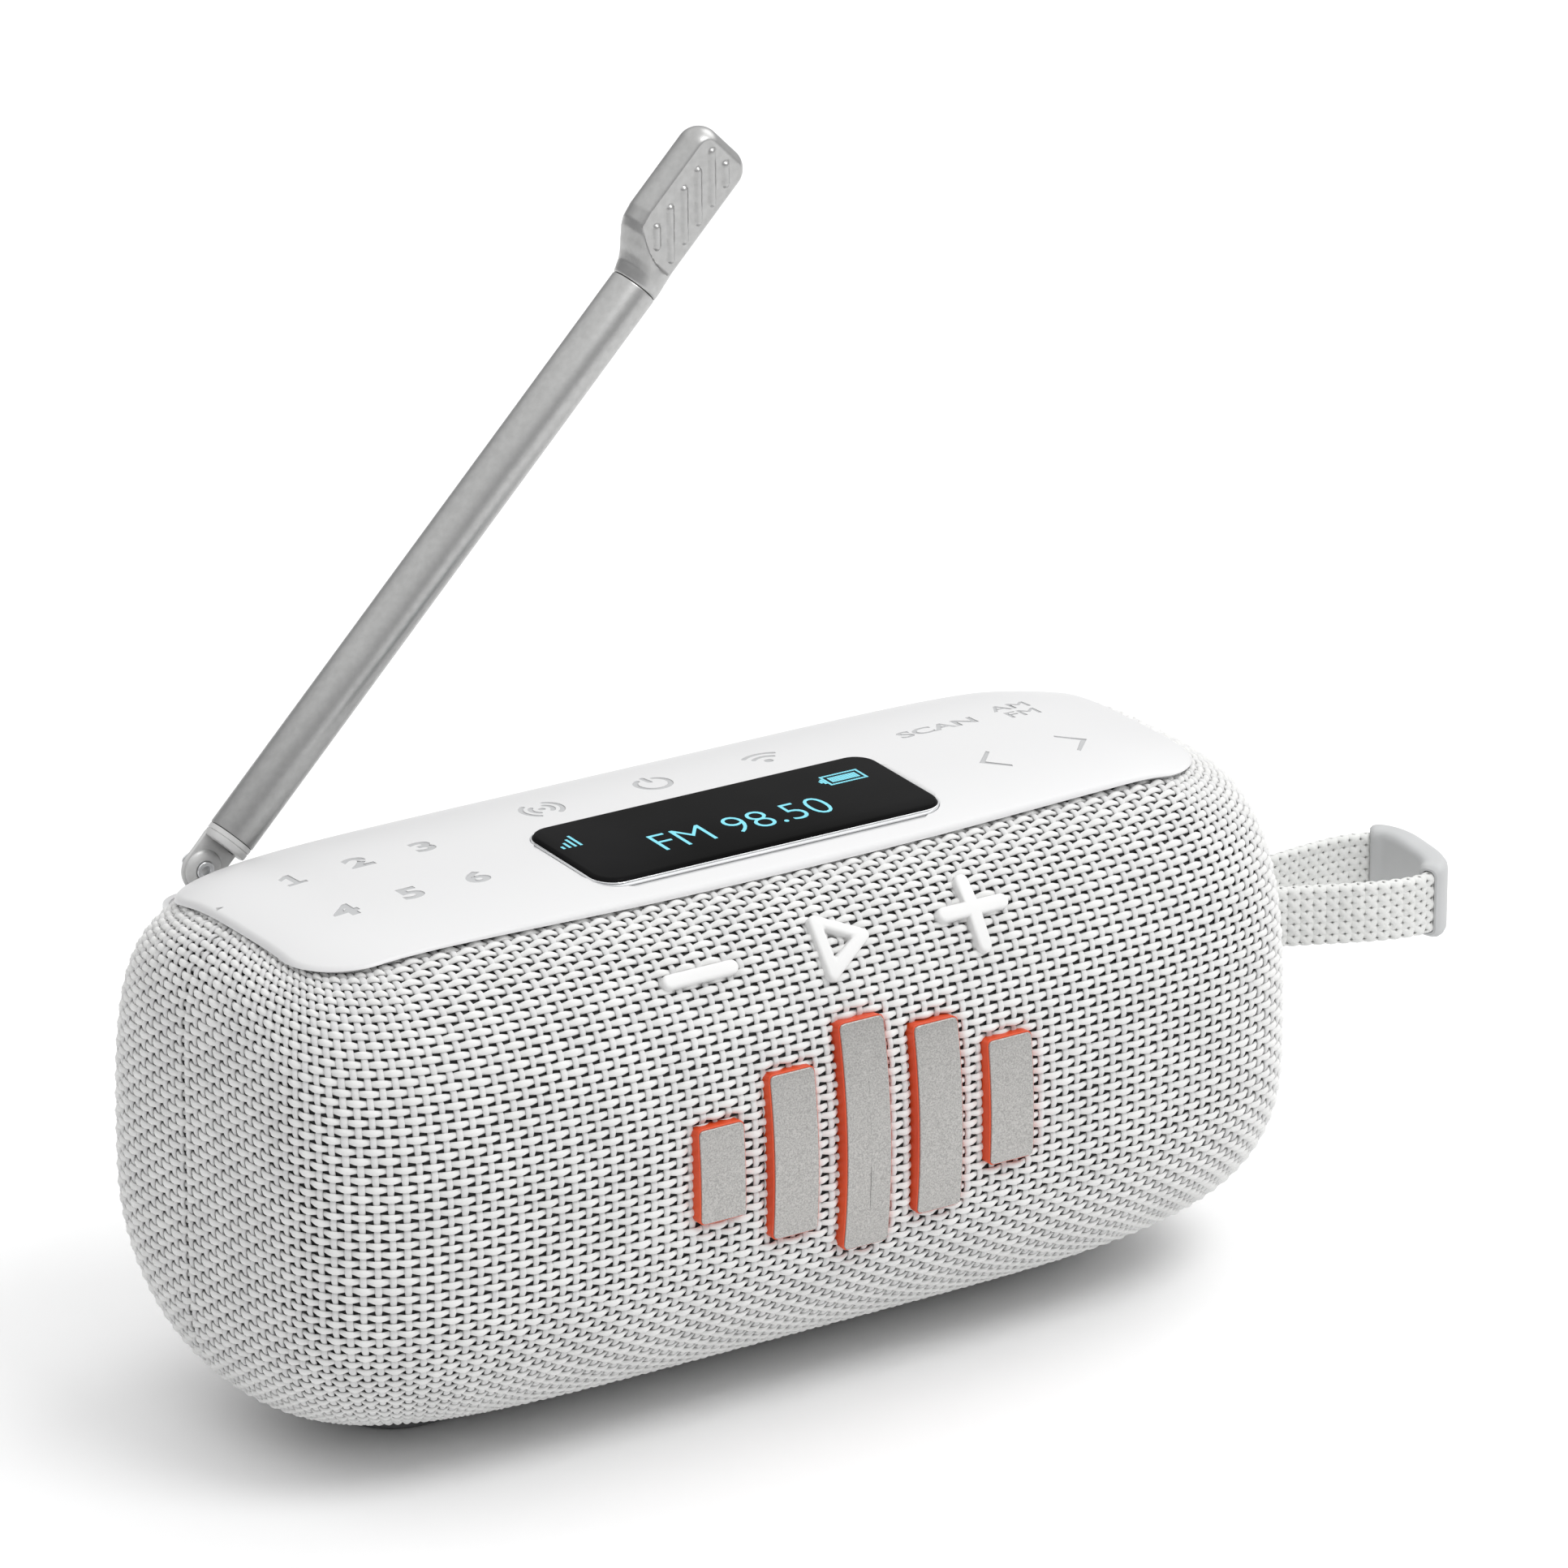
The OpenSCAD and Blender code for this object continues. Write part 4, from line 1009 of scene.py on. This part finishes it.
def front_depth(x, z):
    """How far forward the cloth's outer face is at plan x and height z."""
    tall = np.where(z >= 0, CROWN * taper(x, END_TOP), BELLY * taper(x, END_BELLY))
    power = np.where(z >= 0, ROUND_TOP, ROUND_BELLY)
    wide = HALF_DEPTH * taper(x, END_SIDE)
    return wide * np.maximum(1 - (np.abs(z) / tall) ** power, 0) ** (1 / power)


def on_badge(points):
    """The emblem's surface: the front's curve smoothed through three heights."""
    x, z, rise = points.T
    span = 18.5
    ys = [-front_depth(x, np.full_like(x, EMBLEM["z"] + k * span)) for k in (-1, 0, 1)]
    t = (z - EMBLEM["z"]) / span
    rest, slope, bend = ys[1], (ys[2] - ys[0]) / 2, (ys[2] + ys[0]) / 2 - ys[1]
    y = rest + slope * t + bend * t * t
    lean = (slope + 2 * bend * t) / span
    normal = unit(np.stack([np.zeros_like(x), -np.ones_like(x), lean], axis=1))
    return np.stack([x, y, z], axis=1) + normal * rise[:, None]


SHOULDER = float(crown_at(0.0, FRONT_KEY["y"]))
SHOULDER_LEAN = math.atan2(
    float(crown_at(0.0, FRONT_KEY["y"] + 0.5) - crown_at(0.0, FRONT_KEY["y"] - 0.5)), 1.0)


def on_shoulder(points):
    """A key's flat drawing laid onto the curved shoulder, with height above the cloth."""
    x, drawn, rise = points.T
    y = FRONT_KEY["y"] + drawn * math.cos(SHOULDER_LEAN)
    plane = SHOULDER + drawn * math.sin(SHOULDER_LEAN)
    settled = np.stack([x, y, crown_at(x, y) * 0.75 + plane * 0.25], axis=1)
    return settled + height_normal(crown_at, x, y, 0.05) * rise[:, None]


def cross_outline(half_x, half_y, radius):
    loop = []
    for dx, dy, reach in ((1, 0, half_x), (0, 1, half_y), (-1, 0, half_x), (0, -1, half_y)):
        turn = math.degrees(math.atan2(dy, dx))
        loop += list(arc((dx * reach, dy * reach), radius, turn - 90, turn + 90, 15))
        corner = (dx * radius - dy * radius, dy * radius + dx * radius)
        loop.append(np.array(corner))
    return np.array(loop)


def triangle_outline(grow):
    return np.concatenate([arc(TRIANGLE[n], grow, 120 * n - 60, 120 * n + 60, 14)
                           for n in range(3)])


def triangle_hole(width):
    """The opening of the play symbol, with slightly rounded corners."""
    soft = 0.35
    reach = PLAY["reach"] - 2 * (width + soft)
    loop = []
    for n in range(3):
        a = math.radians(120 * n)
        centre = (reach * math.cos(a) - PLAY["back"], reach * math.sin(a))
        loop.append(arc(centre, soft, 120 * n - 60, 120 * n + 60, 14))
    return np.concatenate(loop)


def profile(depth, rise, soft, steps=6):
    """Inset and height pairs from the foot of a raised shape over its rounded edge."""
    pairs = [(-0.12, depth), (-0.04, 0.0)]
    for k in range(steps + 1):
        a = math.pi / 2 * k / steps
        pairs.append((soft * (1 - math.cos(a)), rise - soft * (1 - math.sin(a))))
    return pairs


def raised(name, outline, place, material, body, depth, rise, soft, hole=None, within=()):
    """A raised symbol: outline(inset) gives its loop; hole(inset) that of its opening.
    within are further insets across its flat top."""
    steps = profile(depth, rise, soft) + [(inset, rise) for inset in within]
    rings = [np.column_stack([outline(i), np.full(len(outline(i)), z)]) for i, z in steps]
    if hole is None:
        piece = ring_stack(name, rings, material, body, place)
    else:
        inner = [np.column_stack([hole(i), np.full(len(hole(i)), z)])
                 for i, z in profile(depth, rise, soft)][::-1]
        piece = ring_stack(name, rings + inner, material, body, place, close_top=False)
    shade(piece.data, 60)
    return piece


KEY_SOFT, KEY_RISE = 0.5, 0.75


def front_key(name, key, k, outline, hole=None):
    def place(points):
        return on_shoulder(points + [k * FRONT_KEY["pitch"], 0, 0])

    stands_for(raised(name, outline, place, MATERIALS["key_rubber"], key, -2.2, KEY_RISE,
                      KEY_SOFT, hole), key)


front_key("key_volume_down_bar", "key_volume_down", -1,
          lambda i: dense(rounded_rect(6.6 - i, 1.1 - i, max(1.1 - i, 0.05) * 0.999, 12), 96))
front_key("key_volume_up_cross", "key_volume_up", 1,
          lambda i: cross_outline(5.2, 4.9, 1.15 - i))
front_key("key_play_triangle", "key_play", 0, lambda i: triangle_outline(PLAY["half"] - i),
          lambda i: triangle_hole(PLAY["half"] - i))

for index, height in enumerate(EMBLEM["heights"]):
    middle = (index - 2) * EMBLEM["pitch"]

    def outline(inset, grow=0.0, height=height, middle=middle):
        loop = rounded_rect(EMBLEM["bar"] / 2 - inset + grow, height / 2 - inset + grow,
                            max(0.9 - inset + grow, 0.1), 8)
        return dense(loop, 120) + [middle, EMBLEM["z"]]

    base = raised(f"emblem_base_{index + 1}", outline, on_badge, MATERIALS["emblem_base"],
                  "case", -1.4, 1.05, 0.12, within=(1.3, 2.6, 3.7))
    face = raised(f"emblem_face_{index + 1}", lambda i: outline(i, -0.22), on_badge,
                  MATERIALS["emblem_face"], "case", 0.6, 1.35, 0.16, within=(1.3, 2.6, 3.6))
    if index == 0:
        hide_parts("emblem_base")
        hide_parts("emblem_faces")

# ---------- antenna ----------

TILT = math.radians(44.4)
MAST_TURN = np.array([[math.cos(TILT), 0, -math.sin(TILT)], [0, 1, 0],
                      [math.sin(TILT), 0, math.cos(TILT)]])
COLLAR, MAST = 6.5, 103.6


def on_mast(points):
    """From the antenna's frame, its pin at the origin and z along it."""
    return points @ MAST_TURN + PIN


def circle_ring(radius, z, count=64):
    return np.column_stack([arc((0, 0), radius, 0, 360 - 360 / count, count), np.full(count, z)])


def lathe(name, outline, material, body, place, close_top=True):
    """A turned shape from (radius, height) pairs."""
    rings = [circle_ring(r, z) for r, z in outline]
    return ring_stack(name, rings, MATERIALS[material], body, place, close_top)


stands_for(lathe("mast_tube", [
    (2.9, COLLAR + 0.3), (3.45, COLLAR + 0.03), (3.66, COLLAR + 0.03), (3.76, COLLAR + 0.08),
    (3.8, COLLAR + 0.2), (3.8, 40.0), (3.8, 75.0), (3.8, COLLAR + MAST - 0.3),
    (3.76, COLLAR + MAST - 0.14), (3.66, COLLAR + MAST - 0.06), (3.2, COLLAR + MAST - 0.06),
    (3.2, COLLAR + MAST - 4)], "mast", "antenna_mast", on_mast, close_top=False),
    "antenna_tube", 38)

GRIP_ROUND, GRIP_RADIUS = 22.4, 3.5
SPINE = np.array([[0.0, 0.0], [2.0, -0.8], [3.2, -1.7], [4.6, -3.1], [6.1, -4.4], [7.4, -5.1],
                  [9.6, -5.45], [22.4, -5.45]])
FACET = 2.78
RIBS = [(-3.86, 7.47, 4.1)] + [(-2.15, 9.25 + 3.58 * n, 9.2) for n in range(4)] + [
    (-0.46, 21.78, 4.1)]


def grip():
    """The flattened pull at the antenna's tip: a bent spine, a faceted face and six ribs."""
    levels = np.concatenate([[0.05, 0.1, 0.25], np.arange(0.5, GRIP_ROUND, 0.22),
                             GRIP_ROUND + GRIP_RADIUS * np.sin(np.radians(np.arange(0, 91, 5)))])
    rings = []
    for z in levels:
        spine = np.interp(z, SPINE[:, 0], SPINE[:, 1])
        radius = np.interp(z, [0, 1.5, 5], [3.8, 3.78, GRIP_RADIUS])
        if z < 0.3:
            radius -= (0.3 - z) ** 2 * 1.6
        if z > GRIP_ROUND:
            radius = math.sqrt(max(GRIP_RADIUS ** 2 - (z - GRIP_ROUND) ** 2, 0.0004))
        cut = math.asin(min(FACET / radius, 1))
        right_low = np.linspace(-cut, math.pi / 2, 18)
        back = np.linspace(0, 1, 8)[1:-1]
        left = np.linspace(math.pi / 2, math.pi + cut, 18)
        ring = [(radius * math.cos(a), radius * math.sin(a)) for a in right_low]
        ring += [(spine * t, radius) for t in back]
        ring += [(spine + radius * math.cos(a), radius * math.sin(a)) for a in left]
        span = np.linspace(ring[-1][0], ring[0][0], 50)[1:-1]
        left_arc = np.clip((spine - span) / radius, 0, 1)
        right_arc = np.clip(span / radius, 0, 1)
        round_y = -radius * np.sqrt(1 - np.maximum(left_arc, right_arc) ** 2)
        start = 3.9 + 0.055 * (span - 0.2) ** 2
        flat = smooth_step((z - start) / 0.45)
        face = round_y * (1 - flat) + np.maximum(round_y, -FACET) * flat
        for cx, cz, size in RIBS:
            half = size / 2 - 0.55
            dx, dz = -0.7071 * half, 0.7071 * half
            away = stroke_distance(span, np.full_like(span, z),
                                   ((cx - dx, cz - dz), (cx + dx, cz + dz)), 0.0)
            face = face - 0.42 * np.sqrt(np.clip(1 - (away / 0.58) ** 2, 0, 1))
        ring += list(zip(span, face))
        rings.append(np.column_stack([np.array(ring), np.full(len(ring), COLLAR + MAST + z)]))
    return ring_stack("grip", rings, MATERIALS["mast"], "antenna_tip", on_mast, True, True)


stands_for(grip(), "antenna_grip", 42)


def soften(node, name, width, material, body):
    """A copy of a CAD part with its edges rounded over."""
    shape = bmesh.new()
    shape.from_mesh(frame["nodes"][node].data)
    bmesh.ops.remove_doubles(shape, verts=shape.verts, dist=2e-6)
    bmesh.ops.dissolve_limit(shape, angle_limit=math.radians(1.0), verts=shape.verts,
                             edges=shape.edges)
    hard = [e for e in shape.edges if len(e.link_faces) == 2
            and e.calc_face_angle(0) > math.radians(28)]
    bmesh.ops.bevel(shape, geom=hard, offset=width * MM, segments=3, profile=0.5,
                    affect="EDGES", clamp_overlap=True)
    return stands_for(add(name, mesh_of(name, shape), MATERIALS[material], body), node, 35)


# The rivet's tail is drawn in behind the tongue
RIVET_KEPT = 2.6
rivet = soften("antenna_rivet", "rivet", 0.12, "chrome", "antenna_turret")
for vertex in rivet.data.vertices:
    deep = vertex.co.y / MM - PIN[1] - RIVET_KEPT
    if deep > 0:
        vertex.co.y = (PIN[1] + RIVET_KEPT + 0.5 * deep) * MM
soften("usb_socket", "usb_shell", 0.15, "steel", "case")


def from_side(points):
    """From a drawing in the mast's plane, depth towards the back, to mm."""
    return on_mast(points[:, [0, 2, 1]])


# Cosines and sines of the steps over a rounded edge
QUARTER = [(math.cos(a), math.sin(a)) for a in (math.pi / 2 * k / 5 for k in range(1, 6))]


def tongue():
    """The flat fork plate that swings on the rivet, with its domed eye and the collar."""
    half, reach = 3.6, COLLAR - 1.4
    shape = np.concatenate([arc((0, 0), half, -180, 0, 40), [[half, reach], [-half, reach]]])
    shape = dense(shape, 120)

    def loop(inset, depth):
        middle = np.array([0.0, 1.0])
        away = shape - middle
        size = np.linalg.norm(away, axis=1, keepdims=True)
        return np.column_stack([middle + away * (size - inset) / size, np.full(120, depth)])

    rings = [loop(1.5, 2.25), loop(0.9, 2.15), loop(0.45, 1.8), loop(0.1, 1.4), loop(0, 1.1)]
    rings += [loop(0.3 * (1 - c), 1.1 - 0.3 * s) for c, s in QUARTER]
    plate = ring_stack("tongue_plate", rings, MATERIALS["cast"], "antenna_mast", from_side,
                       True, True)
    eye = [circle_ring(radius, depth, 60) for radius, depth in (
        (3.15, 1.1), (3.12, 0.74), (3.0, 0.56), (2.6, 0.34), (2.2, 0.2), (1.8, 0.12), (1.5, 0.2),
        (1.46, 0.9))]
    dome = ring_stack("tongue_eye", eye, MATERIALS["cast"], "antenna_mast", from_side, False)
    collar = lathe("collar", [
        (2.0, COLLAR - 2.1), (3.3, COLLAR - 2.1), (3.58, COLLAR - 1.98), (3.68, COLLAR - 1.7),
        (3.68, COLLAR - 1.05), (3.6, COLLAR - 0.98), (3.6, COLLAR - 0.9), (3.72, COLLAR - 0.82),
        (3.72, COLLAR - 0.12), (3.64, COLLAR - 0.05), (3.1, COLLAR - 0.05)],
        "cast", "antenna_mast", on_mast)
    return plate, dome, collar


for piece in tongue():
    stands_for(piece, "antenna_knuckle", 38 if piece.name == "collar" else 40)

base = lathe("turret_base", [
    (3.6, -11.9), (3.6, -10.7), (2.5, -10.5), (2.5, -7.4), (2.9, -7.2), (3.0, -6.9), (3.0, -6.5),
    (2.8, -6.3)], "cast", "antenna_turret", lambda p: p + PIN + [0, TURRET_BACK, 0])
post = lathe("turret_post", [
    (0.95, -6.6), (0.95, -0.8), (0.85, -0.2), (0.6, 0.25), (0.3, 0.4)],
    "cast", "antenna_turret", lambda p: p + PIN + [0, 3.3, 0])
hub = ring_stack("turret_hub", [circle_ring(radius, depth, 60) for radius, depth in (
    (0.9, 2.35), (1.15, 2.4), (1.25, 2.5), (1.25, 3.5), (1.15, 3.65), (0.8, 3.7))],
    MATERIALS["cast"], "antenna_turret", lambda p: p[:, [0, 2, 1]] + PIN, True, True)
for piece in (base, post, hub):
    stands_for(piece, "antenna_turret", 40)


def sole_pad():
    """The rubber foot: a stadium with a soft edge, grooved round its underside. Its dark grey is
    painted shade, standing in for the contact shadow under the body.
    """
    def loop(inset, z):
        radius = 10.0 - inset
        left = arc((-57, 0), radius, 90, 270, 40)
        return np.column_stack([dense(np.concatenate([left, -left]), 240), np.full(240, z)])

    rings = [loop(0.6, -33.2), loop(0, -34.4), loop(0, -35.7)]
    rings += [loop(0.8 * (1 - c), -35.75 - 0.8 * s) for c, s in QUARTER]
    rings += [loop(2.6, -36.55), loop(2.75, -36.2), loop(3.45, -36.2), loop(3.6, -36.55)]
    return ring_stack("sole_pad", rings, MATERIALS["sole"], "case", lambda p: p)


stands_for(sole_pad(), "sole", 40)


def low_seat():
    """The channel under the folded antenna; its round seat follows the shoulder."""
    lowest = 36.2
    shape = bmesh.new()
    shape.from_mesh(frame["nodes"]["antenna_channel"].data)
    for vert in shape.verts:
        x, y, z = (c / MM for c in vert.co)
        away = math.hypot(x - PIN[0], y - PIN[1] - TURRET_BACK)
        if away < 6.2 and z - MID > lowest:
            vert.co.z = min(vert.co.z, (MID + max(lowest, float(crown_at(x, y)) - 0.3)) * MM)
    return add("channel_trough", mesh_of("channel_trough", shape), MATERIALS["panel"], "case")


stands_for(low_seat(), "antenna_channel", 35)

# ---------- carry loop ----------

LOOP_TURN = math.radians(LOOP["turn"])
STEPS = 48


def squared(v):
    return np.sign(v) * np.abs(v) ** 0.6


def loop_centre(a):
    out = (1 - squared(np.cos(a))) / 2
    return np.stack([LOOP["reach"] * out,
                     -LOOP["bulge"] * squared(np.sin(a)) * out ** 1.2], axis=-1)


def on_loop(points):
    c, s = math.cos(LOOP_TURN), math.sin(LOOP_TURN)
    x, y, z = points.T
    return np.stack([LOOP["pin"][0] + x * c - y * s, LOOP["pin"][1] + x * s + y * c,
                     LOOP["z"] + z], axis=1)


def loop_line(first, last, count):
    """Centre line between two steps of the loop: points, sideways directions, lengths."""
    a = np.radians(np.linspace(360 * (first + 0.5) / STEPS, 360 * (last + 0.5) / STEPS, 4001))
    line = loop_centre(a)
    run = lengths(line)
    at = np.linspace(0, run[-1], count)
    points = np.stack([np.interp(at, run, line[:, k]) for k in range(2)], axis=1)
    heading = unit(np.gradient(points, axis=0))
    return points, np.stack([-heading[:, 1], heading[:, 0]], axis=1), at


def belt_section(q, half_w, half_t):
    """A flat tube's section: q in turns round it, to (up, out) and its outward normal."""
    straight, turn = 2 * (half_w - half_t), math.pi * half_t
    total = 2 * (straight + turn)
    d = (q % 1.0) * total
    up, out = np.zeros_like(d), np.zeros_like(d)
    nu, no = np.zeros_like(d), np.zeros_like(d)
    for first, sign in ((0.0, 1.0), (straight + turn, -1.0)):
        flat = (d >= first) & (d < first + straight)
        up[flat] = sign * (d[flat] - first - straight / 2)
        out[flat] = sign * half_t
        no[flat] = sign
        bend = (d >= first + straight) & (d < first + straight + turn)
        angle = (d[bend] - first - straight) / half_t
        up[bend] = sign * (straight / 2 + half_t * np.sin(angle))
        out[bend] = sign * half_t * np.cos(angle)
        nu[bend], no[bend] = sign * np.sin(angle), sign * np.cos(angle)
    return up, out, nu, no, total


def braid():
    """The loop's webbing: yarns wound both ways round its core, over and under each other."""
    half_w, half_t, yarns = 4.8, 0.72, 10
    count = 420
    line, side, at = loop_line(4.2, 42.8, count)
    total = belt_section(np.zeros(1), half_w, half_t)[4]
    section = np.radians([0, 50, 90, 130, 180, 270])
    k = len(section)
    points, uvs = [], []
    for way in (1, -1):
        for n in range(yarns):
            up, out, nu, no = belt_section(n / yarns + way * at / total, half_w, half_t)[:4]
            wave = np.cos(np.pi * (way * 2 * yarns * at / total + 0.5 * (1 - way) + 2 * n))
            lift = 0.19 * wave * way
            centre = np.column_stack([line + side * (out + no * lift)[:, None], up + nu * lift])
            normal = np.column_stack([side * no[:, None], nu])
            tangent = unit(np.gradient(centre, axis=0))
            normal = unit(normal - tangent * (normal * tangent).sum(1, keepdims=True))
            across = np.cross(tangent, normal)
            ring = (centre[:, None] + across[:, None] * 0.62 * np.cos(section)[None, :, None]
                    + normal[:, None] * 0.3 * np.sin(section)[None, :, None])
            points.append(ring.reshape(-1, 3))
            uvs.append(np.stack([np.repeat(at / 2.2, k), np.tile(np.arange(k) / k, count)], 1))
    quads, caps = tube_faces([count] * len(points), k)
    return quad_object("webbing_braid", to_scene(on_loop(np.concatenate(points))), quads, caps,
                       MATERIALS["braid"], "carry_loop", np.concatenate(uvs))


stands_for(braid(), "strap_webbing")


def belt_ring(middle, side, half_w, half_t, radius):
    """A rounded section across the loop, round one point of its centre line."""
    loop = dense(rounded_rect(half_w, half_t, radius, 8), 48)
    return np.column_stack([middle + side * loop[:, 1:2], loop[:, 0]])


line, side, _ = loop_line(4.0, 43.0, 140)
core = [belt_ring(*pair, 4.7, 0.6, 0.55) for pair in zip(line, side)]
ring_stack("webbing_core", core, MATERIALS["core"], "carry_loop", on_loop, True, True)
soften("strap_pin", "loop_pin", 0.2, "steel", "case")


def clasp():
    """The moulded sleeve over the loop's tip, hollow, with its two mouths rounded."""
    count, lip = 60, 4
    line, side, _ = loop_line(18.6, 28.6, count)
    inner = [belt_ring(*pair, 5.25, 1.2, 0.9) for pair in zip(line, side)]
    outer = []
    for i, pair in enumerate(zip(line, side)):
        end = min(min(i, count - 1 - i) / lip, 1)
        less = 0.55 * (1 - math.sqrt(1 - (1 - end) ** 2))
        outer.append(belt_ring(*pair, 6.15 - less, 2.2 - less, 1.4 - less * 0.5))
    return ring_stack("clasp_sleeve", outer + inner[::-1] + outer[:1], MATERIALS["clasp"],
                      "carry_loop", on_loop, False)


stands_for(clasp(), "strap_clasp", 50)

# ---------- the CAD parts that stay ----------

for part in frame["record"]["subparts"]:
    node = frame["nodes"][part["node"]]
    if node.hide_render:
        continue
    node.data.materials.clear()
    node.data.materials.append(MATERIALS[SLOT_MATERIALS[part["material_slot"]]])
    shade(node.data, 30)

# ---------- floor, light and camera ----------

floor = quad_object("floor", np.array([[-3, -3, 0], [3, -3, 0], [3, 3, 0], [-3, 3, 0]], float),
                    np.array([[0, 1, 2, 3]]), (),
                    node_material("floor_paint", (0.93, 0.93, 0.93), 0.6), None)
scene = bpy.context.scene
world = bpy.data.worlds.new("studio")
scene.world = world
world.use_nodes = True
place = new_node(world, "ShaderNodeTexCoord")
split = new_node(world, "ShaderNodeSeparateXYZ")
lean = new_node(world, "ShaderNodeMath", operation="MULTIPLY_ADD")
lean.inputs[1].default_value = 0.2
sky = new_node(world, "ShaderNodeValToRGB")
sky.color_ramp.interpolation = "EASE"
for element, grey, position in zip(sky.color_ramp.elements, ((0.34, 0.34, 0.345), (1, 1, 1)),
                                   (0.02, 0.75)):
    element.color, element.position = (*grey, 1), position
background = world.node_tree.nodes["Background"]
background.inputs["Strength"].default_value = 1.12
join(world, place, "Generated", split, "Vector")
join(world, split, "X", lean, 0)
join(world, split, "Z", lean, 2)
join(world, lean, 0, sky, "Fac")
join(world, sky, "Color", background, "Color")
scene.view_settings.view_transform = "Standard"


def soft_light(name, position, size, power):
    data = bpy.data.lights.new(name, "AREA")
    data.shape, data.size, data.energy = "DISK", size, power
    lamp = bpy.data.objects.new(name, data)
    scene.collection.objects.link(lamp)
    lamp.location = position
    lamp.rotation_mode = "QUATERNION"
    lamp.rotation_quaternion = (Vector((0, 0, 0.05)) - Vector(position)).to_track_quat("-Z", "Y")
    lamp.rotation_quaternion.normalize()


soft_light("key", (0.35, -0.8, 1.35), 0.7, 8)
soft_light("fill", (1.1, 0.3, 1.2), 1.0, 4)

# Where the photograph was taken from, and how far its middle lies off the object's
AZIMUTH, ELEVATION, DISTANCE = math.radians(33.52), math.radians(20.67), 1.44266
LENS_PER_WIDTH = 6.003965
AIM_RIGHT, AIM_UP = -0.011666, 0.0484798
level = math.cos(ELEVATION)
forward = Vector((math.sin(AZIMUTH) * level, math.cos(AZIMUTH) * level, -math.sin(ELEVATION)))
right = Vector((math.cos(AZIMUTH), -math.sin(AZIMUTH), 0))
upward = right.cross(forward)
camera = bpy.data.objects.new("camera", bpy.data.cameras.new("camera"))
scene.collection.objects.link(camera)
camera.data.sensor_width = 36
camera.data.lens = LENS_PER_WIDTH * 36
camera.data.clip_start = 0.05
camera.location = (Vector((0, 0, MID * MM)) - forward * DISTANCE - right * AIM_RIGHT
                   + upward * AIM_UP)
camera.rotation_mode = "QUATERNION"
camera.rotation_quaternion = Matrix((right, upward, -forward)).transposed().to_quaternion()
scene.camera = camera
